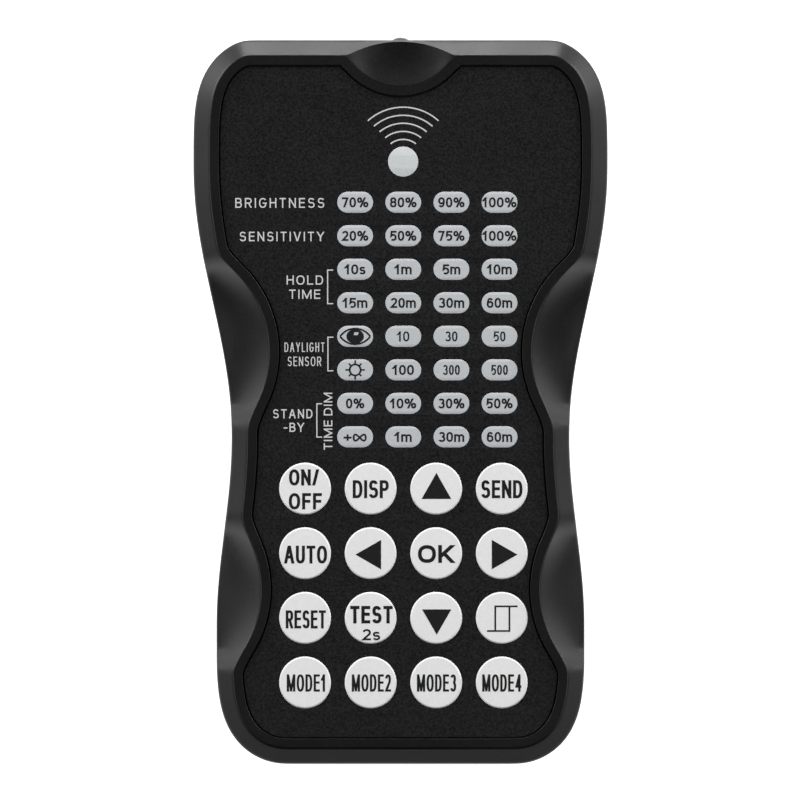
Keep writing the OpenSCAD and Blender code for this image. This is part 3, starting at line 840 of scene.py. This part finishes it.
# each letter: its width against its height, and its strokes
ALPHABET = {
    "A": (0.66, [line((0, 0), (0.45, 1), (0.55, 1), (1, 0)), line((0.25, 0.33), (0.75, 0.33))]),
    "B": (0.56, [
        loop((0, 0.53), (0, 1), *bow(0.5, 0.765, 0.42, 0.235, 90, -90)),
        loop((0, 0), (0, 0.53), *bow(0.52, 0.265, 0.48, 0.265, 90, -90)),
    ]),
    "D": (0.6, [loop((0, 0), (0, 1), *bow(0.42, 0.5, 0.58, 0.5, 90, -90))]),
    "E": (0.5, [line((1, 1), (0, 1), (0, 0), (1, 0)), line((0, 0.53), (0.92, 0.53))]),
    "F": (0.48, [line((1, 1), (0, 1), (0, 0)), line((0, 0.5), (0.88, 0.5))]),
    "G": (0.66, [([*bow(0.5, 0.5, 0.5, 0.5, 38, 318), (1, 0.47), (0.58, 0.47)], "soft start")]),
    "H": (0.58, [line((0, 0), (0, 1)), line((1, 0), (1, 1)), line((0, 0.53), (1, 0.53))]),
    "I": (0, [line((0.5, 0), (0.5, 1))]),
    "K": (0.6, [
        line((0, 0), (0, 1)),
        ([(0.05, 0.34), (0.86, 1)], "soft start"), ([(0.3, 0.56), (0.9, 0)], "soft start"),
    ]),
    "L": (0.46, [line((0, 1), (0, 0), (1, 0))]),
    "M": (0.82, [
        line((0, 0), (0, 1)), line((1, 0), (1, 1)),
        line((0.03, 1), (0.5, 0.02)), line((0.97, 1), (0.5, 0.02)),
    ]),
    "N": (0.6, [line((0, 0), (0, 1)), line((1, 0), (1, 1)), line((0.02, 1), (0.98, 0))]),
    "O": (0.68, [oval(0.5, 0.5, 0.5, 0.5)]),
    "P": (0.54, [line((0, 0), (0, 0.6)), loop((0, 0.48), (0, 1), *upper_bowl)]),
    "R": (0.58, [
        line((0, 0), (0, 0.6)), loop((0, 0.48), (0, 1), *upper_bowl), line((0.52, 0.48), (0.97, 0)),
    ]),
    "S": (0.56, [(ess, "soft")]),
    "T": (0.54, [line((0, 1), (1, 1)), line((0.5, 0), (0.5, 1))]),
    "U": (0.58, [line((0, 1), *bow(0.5, 0.32, 0.5, 0.32, 180, 360), (1, 1))]),
    "V": (0.64, [line((0, 1), (0.46, 0), (0.54, 0), (1, 1))]),
    "Y": (0.64, [line((0, 1), (0.5, 0.45)), line((1, 1), (0.5, 0.45)), line((0.5, 0), (0.5, 0.5))]),
    "0": (0.5, [oval(0.5, 0.5, 0.5, 0.5)]),
    "1": (0.34, [line((0, 0.74), (0.55, 0.98)), line((0.62, 0), (0.62, 1))]),
    "2": (0.5, [([*bow(0.5, 0.725, 0.47, 0.275, 168, -30), (0.02, 0), (1, 0)], "soft start")]),
    "3": (0.5, [
        (bow(0.48, 0.76, 0.45, 0.24, 158, -90), "soft"),
        (bow(0.49, 0.265, 0.51, 0.265, 90, -160), "soft"),
    ]),
    "4": (0.52, [
        line((0.76, 0), (0.76, 1)), line((0.7, 0.97), (0.02, 0.27)), line((0.02, 0.26), (1, 0.26)),
    ]),
    "5": (0.5, [
        ([(1, 1), (0.12, 1), (0.04, 0.5), *bow(0.48, 0.31, 0.52, 0.31, 112, -132)], "soft end"),
    ]),
    "6": (0.5, [(six, "soft"), oval(0.5, 0.31, 0.5, 0.31)]),
    "7": (0.48, [line((0, 1), (1, 1), (0.36, 0))]),
    "8": (0.5, [oval(0.5, 0.765, 0.44, 0.235), oval(0.5, 0.27, 0.5, 0.27)]),
    "9": (0.5, [([(1 - x, 1 - y) for x, y in six], "soft"), oval(0.5, 0.69, 0.5, 0.31)]),
    "m": (0.86, [
        line((0, 0), (0, 0.72)),
        line(*bow(0.25, 0.47, 0.25, 0.25, 165, 0), (0.5, 0)),
        line(*bow(0.75, 0.47, 0.25, 0.25, 165, 0), (1, 0)),
    ]),
    "s": (0.42, [(small_ess, "soft")]),
    "%": (1.0, [
        oval(0.17, 0.77, 0.17, 0.23), oval(0.83, 0.23, 0.17, 0.23), line((0.7, 1), (0.3, 0)),
    ]),
    "+": (0.55, [line((0, 0.42), (1, 0.42)), line((0.5, 0.14), (0.5, 0.7))]),
    "∞": (1.1, [(infinity, "closed")]),
    "-": (0.3, [line((0, 0.42), (1, 0.42))]),
    "/": (0.3, [line((0, 0), (1, 1))]),
}
print("letters and signs:", len(ALPHABET))

# %% [markdown]
# ## Ink
# A stroke becomes a flat band with mitred corners. Straight ends are cut level with the line of
# writing and reach to its edge; the free ends of bows are cut square. The bands of a legend cross
# each other, so all their edges are put into one triangulation, and only the triangles whose
# middle lies on a band are kept. That melts the bands into one clean layer, which is then
# thickened by 0.02 mm.

# %% Ink strokes and write words
ink_t, ink_sunk = 0.02, 0.005


def ribbon(points, pen, ends="soft"):
    """A flat band along a line of points: ends are "closed", "level", "soft", "soft start" or "soft end"."""
    p = np.array(points, float)
    closed = ends == "closed"
    ahead, back = np.roll(p, -1, 0) - p, p - np.roll(p, 1, 0)
    if not closed:
        ahead[-1], back[0] = back[-1], ahead[0]
    ahead, back = (v / np.hypot(*v.T)[:, None] for v in (ahead, back))
    side = np.column_stack([-(ahead + back)[:, 1], (ahead + back)[:, 0]])
    side /= np.hypot(*side.T)[:, None]
    side /= (side * np.column_stack([-ahead[:, 1], ahead[:, 0]])).sum(1)[:, None]
    side *= pen / 2
    for i, out, soft in ((0, -ahead[0], "soft start"), (-1, ahead[-1], "soft end")):
        if closed or ends in ("soft", soft):
            continue
        main = 1 if abs(out[1]) > 0.5 else 0
        stretch = pen / 2 / abs(out[main])
        p[i] += out * stretch
        level = np.array([stretch, 0]) if main else np.array([0, stretch])
        side[i] = level * np.sign(level @ side[i])
    n = len(p)
    faces = [[i, (i + 1) % n, n + (i + 1) % n, n + i] for i in range(n if closed else n - 1)]
    return np.vstack([p - side, p + side]), faces


def write(words, centre, size, pen, gap, upright=False):
    """The strokes of a line of words, in a box of the given width and height about centre."""
    widths = [ALPHABET[c][0] for c in words]
    scale = (size[0] - len(words) * pen - gap * (len(words) - 1)) / sum(widths)
    x, shapes = -size[0] / 2 + pen / 2, []
    for c, w in zip(words, widths):
        for points, ends in ALPHABET[c][1]:
            placed = np.array(points) * (w * scale, size[1] - pen) + (x, -size[1] / 2 + pen / 2)
            flat, faces = ribbon(placed, pen, ends)
            if upright:
                flat = np.column_stack([-flat[:, 1], flat[:, 0]])
            shapes.append((flat + centre, faces))
        x += w * scale + pen + gap
    return shapes


def arc(centre, r, start, end, steps=40):
    angles = np.radians(np.linspace(start, end, steps + 1))
    return np.column_stack([centre[0] + r * np.cos(angles), centre[1] + r * np.sin(angles)])


def melted(shapes):
    """One set of triangles that covers what a set of flat shapes covers, with no overlaps."""
    corners, faces = joined(shapes)
    flat = np.array(corners)
    edges = {tuple(sorted(pair)) for face in faces for pair in zip(face, face[1:] + face[:1])}
    cut = delaunay_2d_cdt([Vector(c) for c in corners], list(edges), [], 0, 1e-5, False)
    places, triangles = np.array(cut[0]), np.array(cut[2])
    middles = places[triangles].mean(1)
    covered = np.zeros(len(middles), bool)
    for a, b, c in (np.array([f[0], *f[k:k + 2]]) for f in faces for k in range(1, len(f) - 1)):
        p, q, r = flat[[a, b, c]]
        signs = [np.sign(np.cross(v - u, middles - u)) for u, v in ((p, q), (q, r), (r, p))]
        covered |= np.abs(np.sum(signs, axis=0)) == 3
    return places, triangles[covered].tolist()


def printed(name, shapes, z, body, slot, ink):
    """A layer of ink that starts just under z and ends just above it."""
    places, triangles = melted(shapes)
    obj = solid(name, [(*p, z - ink_sunk) for p in places], triangles, facing_up=True)
    ink_layer = obj.modifiers.new("ink", "SOLIDIFY")
    ink_layer.thickness, ink_layer.offset = ink_t, 1
    bake(obj)
    return deliver(obj, body, slot, ink)


# %% Words and signs of the keys
def arrow(*points):
    return np.array(points, float), [[0, 1, 2]]


bold, mode_pen, sign_pen = 0.5, 0.38, 0.29
mode_size, mode_gap = (6.65, 2.93), 0.23

# each word: its middle against the key's, its width and height, its pen and the gap between letters
key_words = {
    "on_off": [
        ("ON/", (-0.2, 1.9), (5.05, 2.74), bold, 0.3),
        ("OFF", (0.05, -2.15), (5.6, 2.77), bold, 0.34),
    ],
    "display": [("DISP", (0.02, -0.1), (6.1, 3.05), bold, 0.3)],
    "send": [("SEND", (0.01, -0.1), (7.0, 3.05), bold, 0.3)],
    "auto": [("AUTO", (0.1, -0.23), (7.25, 3.03), bold, 0.3)],
    "ok": [("OK", (0.01, -0.13), (6.2, 3.03), 0.62, 0.4)],
    "reset": [("RESET", (0.13, -0.26), (6.8, 3.07), 0.44, 0.22)],
    "test": [
        ("TEST", (0.14, 0.54), (7.2, 2.98), 0.55, 0.32),
        ("2s", (0.11, -2.86), (3.0, 1.9), 0.33, 0.28),
    ],
    "mode_1": [("MODE1", (0.22, -0.09), mode_size, mode_pen, mode_gap)],
    "mode_2": [("MODE2", (0.13, -0.09), mode_size, mode_pen, mode_gap)],
    "mode_3": [("MODE3", (0.06, -0.09), mode_size, mode_pen, mode_gap)],
    "mode_4": [("MODE4", (0.01, -0.09), mode_size, mode_pen, mode_gap)],
}
key_signs = {
    "up": [arrow((-2.48, -1.76), (2.56, -1.76), (0.04, 2.67))],
    "left": [arrow((1.77, -2.73), (1.77, 2.27), (-2.59, -0.23))],
    "right": [arrow((-1.69, -2.73), (2.67, -0.23), (-1.69, 2.27))],
    "down": [arrow((-2.4, 1.44), (0.09, -2.86), (2.57, 1.44))],
    "step": [
        ribbon([(-2.5, -2.23), (1.3, -2.23), (1.3, 1.95)], sign_pen),
        ribbon([(-1.1, -2.23), (-1.1, 1.95), (2.68, 1.95)], sign_pen),
    ],
}

# %% Print the keys
for name, centre in key_at.items():
    shapes = [(corners + centre, faces) for corners, faces in key_signs.get(name, [])]
    for word, offset, size, pen, gap in key_words.get(name, []):
        shapes += write(word, centre + offset, size, pen, gap)
    printed("legend_" + name, shapes, key_top, name + "_button", "film_black", black_ink)

# %% Words and signs of the windows
digit_h, digit_gap = 1.7, 0.2
digit_pen, narrow_pen, narrow_below = 0.31, 0.26, 1.05

# each word and its width, in the order of the windows; the two empty ones hold the signs
window_words = {
    "brightness_windows": [("70%", 4.47), ("80%", 4.5), ("90%", 4.45), ("100%", 5.75)],
    "sensitivity_windows": [("20%", 4.45), ("50%", 4.45), ("75%", 4.45), ("100%", 5.75)],
    "hold_time_windows": [
        ("10s", 3.5), ("1m", 2.85), ("5m", 3.0), ("10m", 4.15),
        ("15m", 4.15), ("20m", 4.25), ("30m", 4.35), ("60m", 4.3),
    ],
    "daylight_windows": [
        ("", 0), ("10", 2.05), ("30", 2.05), ("50", 2.0),
        ("", 0), ("100", 3.6), ("300", 2.85), ("500", 2.8),
    ],
    "standby_windows": [
        ("0%", 3.1), ("10%", 4.4), ("30%", 4.45), ("50%", 4.45),
        ("+∞", 3.9), ("1m", 2.85), ("30m", 4.35), ("60m", 4.3),
    ],
}


def eye_sign(centre):
    """An open eye: a lens outline, a dark iris and a small light in it."""
    half_w, half_h, pen = 2.55, 1.33, 0.3
    r = (half_w**2 + half_h**2) / (2 * half_h)
    spread = math.degrees(math.asin(half_w / r))
    upper = arc((centre[0], centre[1] + half_h - r), r, 90 + spread, 90 - spread, 24)
    lower = arc((centre[0], centre[1] - half_h + r), r, 270 + spread, 270 - spread, 24)
    iris = circle((0, 0), 1, 48) * (1.48, 1.23) + centre
    light = np.array([(-0.28, 0.22), (-0.12, 0.72), (0.62, 0.72), (0.46, 0.22)]) + centre
    return [ribbon(upper, pen), ribbon(lower, pen), patch(iris, light[::-1])]


def sun_sign(centre):
    """A ring with eight rays, every other one a little longer."""
    ring_r, ring_pen, rays, ray_start, long_end, short_end, ray_pen = 0.93, 0.3, 8, 0.95, 1.65, 1.5, 0.27
    shapes = [ribbon(circle(centre, ring_r, 48), ring_pen, "closed")]
    for k in range(rays):
        a = math.tau * k / rays
        out = np.array([math.cos(a), math.sin(a)])
        far = short_end if k % 2 else long_end
        shapes.append(ribbon([centre + ray_start * out, centre + far * out], ray_pen))
    return shapes


# %% Print the windows
window_print = []
for node, words in window_words.items():
    for (word, width), centre in zip(words, pills[node]):
        if word:
            pen = narrow_pen if width / len(word) <= narrow_below else digit_pen
            window_print += write(word, centre, (width, digit_h), pen, digit_gap)
eye_at, sun_at = (np.array(pills["daylight_windows"][k]) for k in (0, 4))
window_print += eye_sign(eye_at) + sun_sign(sun_at)
printed("window_numbers", window_print, window_top, "case", "film_black", black_ink)

# %% Print the film
film_pen, fine_pen, bracket_pen, arc_pen = 0.21, 0.16, 0.19, 0.22


def beside(group, x, y):
    """A place measured from the first window of a group."""
    return np.array(pills[group][0]) + (x, y)


def label(words, group, offset, size, pen, gap, upright=False):
    return write(words, beside(group, *offset), size, pen, gap, upright)


def bracket(group, tip, back, top, foot):
    """A square bracket that opens toward the windows of its group."""
    corners = [(tip, top), (back, top), (back, foot), (tip, foot)]
    return ribbon([beside(group, x, y) for x, y in corners], bracket_pen)


film_print = [
    *label("BRIGHTNESS", "brightness_windows", (-12.8, -0.1), (15.1, 1.67), film_pen, 0.52),
    *label("SENSITIVITY", "sensitivity_windows", (-12.45, -0.11), (14.3, 1.61), film_pen, 0.5),
    *label("HOLD", "hold_time_windows", (-8.54, -1.82), (6.2, 1.57), film_pen, 0.44),
    *label("TIME", "hold_time_windows", (-8.56, -4.22), (5.3, 1.57), film_pen, 0.44),
    *label("DAYLIGHT", "daylight_windows", (-8.6, -1.84), (6.8, 1.6), fine_pen, 0.3),
    *label("SENSOR", "daylight_windows", (-8.6, -4.24), (5.7, 1.6), fine_pen, 0.3),
    *label("STAND", "standby_windows", (-10.6, -1.76), (6.7, 1.55), film_pen, 0.4),
    *label("-BY", "standby_windows", (-10.4, -4.06), (3.45, 1.55), film_pen, 0.34),
    *label("DIM", "standby_windows", (-4.6, -0.11), (3.85, 1.47), film_pen, 0.36, upright=True),
    *label("TIME", "standby_windows", (-4.6, -5.36), (5.0, 1.47), film_pen, 0.36, upright=True),
    bracket("hold_time_windows", -3.72, -4.67, -0.12, -5.82),
    bracket("daylight_windows", -3.7, -4.62, -0.14, -5.84),
    bracket("standby_windows", -5.6, -6.5, -0.06, -5.71),
]
arcs_at = (status_at[0], status_at[1] + 0.3)
for r, half_angle in [(8.95, 42), (7.58, 41), (6.22, 40), (4.84, 39), (3.48, 38)]:
    film_print.append(ribbon(arc(arcs_at, r, 90 - half_angle, 90 + half_angle), arc_pen))
printed("film_lettering", film_print, film_top, "case", "key_white", white_ink)

# %% [markdown]
# ## Infrared lamp
# The lamp is a 5 mm resin body with a flange and a dome. The resin of such a lamp is smoky and
# still shows what is in it, so a small metal frame with a cup is set inside later on. Transmission
# on the Principled shader makes the resin, and a fine haze of dark grey tints it.

# %% Make the lamp
lamp_r, lamp_flange_r, lamp_flange_t = 2.5, 2.9, 0.8
lamp_centre = (0, lamp_back, parting_z)
dome_y = float(box_mm("ir_lamp")[1][1]) - lamp_r - lamp_back
dome_angles = np.linspace(0, math.pi / 2, 25)
dome = [(lamp_r * math.cos(a), dome_y + lamp_r * math.sin(a)) for a in dome_angles]
dome[-1] = (0, dome_y + lamp_r)
lens_profile = [
    (0, 0), (lamp_flange_r, 0), (lamp_flange_r, lamp_flange_t), (lamp_r, lamp_flange_t), *dome,
]
lens = solid("ir_lamp_lens", *lathe(lens_profile, 64, lamp_centre, "Y"))
resin, nodes, links, shader, where = new_finish(
    "lamp_resin", Transmission_Weight=1.0, IOR=1.5, Roughness=0.03
)
haze = noise(nodes, links, where, 900, 3)
haze_colour = ramp(nodes, links, haze, [(0.3, (0.03, 0.03, 0.035)), (0.7, (0.05, 0.05, 0.055))])
links.new(haze_colour, shader.inputs["Base Color"])
deliver(lens, "case", "lamp_clear", resin, stands_for=["ir_lamp"])

# %% [markdown]
# ## Metal finishes
# Stamped nickel-plated sheet, coiled wire and screws share one recipe: a metallic shader whose
# roughness follows fine noise. The board and the parts on it get finishes of their own, because
# they show when the battery door is off or when someone looks inside.

# %% Metals and the inner parts' finishes
def metal(name, colour, rough, streak=(1, 1, 1)):
    material, nodes, links, shader, where = new_finish(name, Metallic=1.0)
    stretch = nodes.new("ShaderNodeMapping")
    stretch.inputs["Scale"].default_value = streak
    links.new(where, stretch.inputs["Vector"])
    fine = noise(nodes, links, stretch.outputs["Vector"], 2500, 4)
    dark = tuple(0.85 * c for c in colour)
    links.new(ramp(nodes, links, fine, [(0.3, dark), (0.7, colour)]), shader.inputs["Base Color"])
    links.new(ramp(nodes, links, fine, [(0.3, (rough[0],)), (0.7, (rough[1],))]), shader.inputs["Roughness"])
    bump(nodes, links, shader, fine, 0.000003)
    return material


nickel = metal("nickel_sheet", (0.62, 0.6, 0.56), (0.25, 0.4), (1, 0.2, 1))
steel = metal("screw_steel", (0.45, 0.45, 0.46), (0.25, 0.45))
frame_metal = metal("lamp_frame_metal", (0.6, 0.58, 0.52), (0.3, 0.4))
stem_finish = moulded(
    "stem_plastic", (0.02, 0.02, 0.022), (0.035, 0.035, 0.038), 0.0003, 0.000005, (0.35, 0.45)
)
baffle_finish = moulded(
    "baffle_white", (0.74, 0.74, 0.72), (0.82, 0.82, 0.8), 0.0005, 0.00001, (0.45, 0.6)
)
chip_finish = moulded(
    "chip_black", (0.02, 0.02, 0.022), (0.035, 0.035, 0.038), 0.0002, 0.000008, (0.5, 0.65)
)
sleeve_finish = moulded(
    "capacitor_sleeve", (0.015, 0.02, 0.06), (0.03, 0.04, 0.1), 0.0008, 0.000005, (0.25, 0.35)
)
lamp_chip_finish = moulded(
    "lamp_cream", (0.75, 0.68, 0.42), (0.86, 0.8, 0.6), 0.0004, 0.000005, (0.35, 0.5)
)


# %% Board and cells
def board_material():
    """Green solder mask with copper tracks that show through it as lighter bands."""
    material, nodes, links, shader, where = new_finish("board_green", Roughness=0.35, Coat_Weight=0.3)
    tracks = nodes.new("ShaderNodeTexBrick")
    tracks.inputs["Scale"].default_value = 260
    tracks.inputs["Mortar Size"].default_value = 0.09
    tracks.inputs["Color1"].default_value = (0.012, 0.11, 0.04, 1)
    tracks.inputs["Color2"].default_value = (0.016, 0.13, 0.05, 1)
    tracks.inputs["Mortar"].default_value = (0.03, 0.2, 0.08, 1)
    links.new(where, tracks.inputs["Vector"])
    links.new(tracks.outputs["Color"], shader.inputs["Base Color"])
    bump(nodes, links, shader, tracks.outputs["Fac"], 0.00002)
    return material


def cell_material(name, node, plus_end):
    """A printed jacket: black, a copper-coloured band toward the plus end, bare steel at both ends."""
    low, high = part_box(node)
    material, nodes, links, shader, where = new_finish(name, Roughness=0.3)
    parts = nodes.new("ShaderNodeSeparateXYZ")
    links.new(where, parts.inputs["Vector"])
    along = nodes.new("ShaderNodeMapRange")
    ends = (low[1], high[1]) if plus_end > 0 else (high[1], low[1])
    along.inputs["From Min"].default_value, along.inputs["From Max"].default_value = ends
    links.new(parts.outputs["Y"], along.inputs["Value"])
    place = along.outputs["Result"]
    steel_end, black, copper = (0.5, 0.5, 0.5), (0.012, 0.012, 0.014), (0.62, 0.3, 0.12)
    bands = [(0, steel_end), (0.018, black), (0.72, copper), (0.955, steel_end)]
    colour = ramp(nodes, links, place, bands)
    colour.node.color_ramp.interpolation = "CONSTANT"
    links.new(colour, shader.inputs["Base Color"])
    shine = ramp(nodes, links, place, [(0, (1,)), (0.018, (0.25,)), (0.72, (0.9,)), (0.955, (1,))])
    shine.node.color_ramp.interpolation = "CONSTANT"
    links.new(shine, shader.inputs["Metallic"])
    scuffs = noise(nodes, links, where, 700, 5)
    links.new(ramp(nodes, links, scuffs, [(0.35, (0.22,)), (0.7, (0.4,))]), shader.inputs["Roughness"])
    return material


inner_finishes = {
    "switch_bodies": nickel, "light_baffle": baffle_finish, "main_board": board_material(),
    "indicator_lamps": lamp_chip_finish, "status_lamp": lamp_chip_finish, "ir_lamp_legs": nickel,
    "microcontroller": chip_finish, "driver_chip": chip_finish, "crystal": nickel,
    "capacitors": sleeve_finish, "resistors": chip_finish,
    "cell_left": cell_material("cell_jacket_left", "cell_left", 1),
    "cell_right": cell_material("cell_jacket_right", "cell_right", -1),
    "cell_springs": nickel, "contact_plates": nickel, "case_screws": steel,
    **{"stem_" + name: stem_finish for name in key_at},
}
for node, material in inner_finishes.items():
    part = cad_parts[node]
    for place in part.material_slots:
        place.material = material
print("inner parts with a finish:", len(inner_finishes))

# %% The lamp's inner frame
cup_x, post_x, lamp_post_r, lamp_post_low, lamp_post_high = -0.6, 1.27, 0.25, 0.6, 4.4
cup_profile = [(0, 1.0), (0.9, 1.0), (0.9, 4.2), (0.65, 4.2), (0.4, 3.9), (0, 3.9)]
cup = lathe(cup_profile, 32, (cup_x, lamp_back, parting_z), "Y")
lamp_post = rod(lamp_post_r, lamp_post_low, lamp_post_high, 16, (post_x, lamp_back, parting_z), "Y")
lamp_frame = solid("ir_lamp_frame", *joined([cup, lamp_post]))
deliver(lamp_frame, "case", "nickel_sheet", frame_metal)

# %% [markdown]
# ## Camera
# The controller is seen from straight above through a long lens, as in a catalogue. A long lens
# far away keeps the sides from showing, and the lamp's dome only just peeps out past the end.

# %% Place the camera
view_w, face_z, distance = 135.9, 18.0, 3.0
view_x, view_y = -0.085, 0.34
camera_data = bpy.data.cameras.new("camera")
camera_data.sensor_width = 36
camera_data.lens = camera_data.sensor_width * distance / (view_w * MM)
camera = in_scene("camera", camera_data)
camera.location = (view_x * MM, view_y * MM, face_z * MM + distance)
bpy.context.scene.camera = camera
print(f"lens {camera_data.lens:.0f} mm")

# %% [markdown]
# ## Floor
# The floor is a wide sheet of plain white paper a hair below the object. Around the object it
# glows a little, as on a light table, which keeps the shadow beside the case faint. The glow fades
# with the distance from the middle, so that the sides of the case aren't lit by the whole floor.

# %% Lay the floor
floor_half, floor_drop, glow_reach = 3.0, 0.1, 0.4
floor_mesh = bpy.data.meshes.new("floor")
floor_mesh.from_pydata(
    [(x * floor_half, y * floor_half, -floor_drop * MM) for x, y in ((-1, -1), (1, -1), (1, 1), (-1, 1))],
    [], [[0, 1, 2, 3]],
)
floor = in_scene("floor", floor_mesh)
paper, nodes, links, shader, where = new_finish("paper_white", Roughness=0.9, Specular_IOR_Level=0.1)
shader.inputs["Emission Color"].default_value = (1, 1, 1, 1)
fibre = noise(nodes, links, where, 400, 3)
links.new(ramp(nodes, links, fibre, [(0.3, (0.955,)), (0.7, (0.965,))]), shader.inputs["Base Color"])
spread = nodes.new("ShaderNodeMapping")
spread.inputs["Scale"].default_value = (1 / glow_reach, 1 / glow_reach, 1)
links.new(where, spread.inputs["Vector"])
glow = nodes.new("ShaderNodeTexGradient")
glow.gradient_type = "SPHERICAL"
links.new(spread.outputs["Vector"], glow.inputs["Vector"])
glow_strength = ramp(nodes, links, glow.outputs["Fac"], [(0.3, (0.1,)), (0.62, (0.78,))])
links.new(glow_strength, shader.inputs["Emission Strength"])
floor_mesh.materials.append(paper)

# %% [markdown]
# ## Light
# Black plastic seen from above stays black when nothing bright is mirrored toward the camera, so
# no light hangs over the object. A flat strip past the lamp end is mirrored by the slope there.
# Two low boxes at the front corners are mirrored by the finger scallops and the thumb scoop, and
# two higher ones at the sides light the white keys and windows.

# %% Set up the lights
LIGHT_REACH = 0.9


def soft_box(name, azimuth, elevation, power, size):
    """A rectangular light that faces the object, at degrees from +Y toward +X and above the floor."""
    light = bpy.data.lights.new(name, "AREA")
    light.shape, light.size, light.size_y, light.energy = "RECTANGLE", size[0], size[1], power
    lamp = in_scene(name, light)
    a, e = math.radians(azimuth), math.radians(elevation)
    out = Vector((math.sin(a) * math.cos(e), math.cos(a) * math.cos(e), math.sin(e)))
    lamp.location = out * LIGHT_REACH
    lamp.rotation_euler = out.to_track_quat("Z", "Y").to_euler()


soft_box("strip_lamp_end", 0, 3.2, 7.6, (0.6, 0.09))
soft_box("box_front_left", -56, 15.5, 8.7, (0.5, 0.3))
soft_box("box_front_right", 56, 15.5, 8.7, (0.5, 0.3))
soft_box("box_left", -90, 50, 2.95, (0.6, 0.3))
soft_box("box_right", 90, 50, 2.95, (0.6, 0.3))

world = bpy.data.worlds.new("studio")
world.use_nodes = True
world.node_tree.nodes["Background"].inputs["Strength"].default_value = 0.0
bpy.context.scene.world = world
bpy.context.scene.view_settings.view_transform = "Standard"

# %% [markdown]
# ## Bring the scene up to date
# The view layer is updated once more at the end.

# %% Update the view layer
bpy.context.view_layer.update()
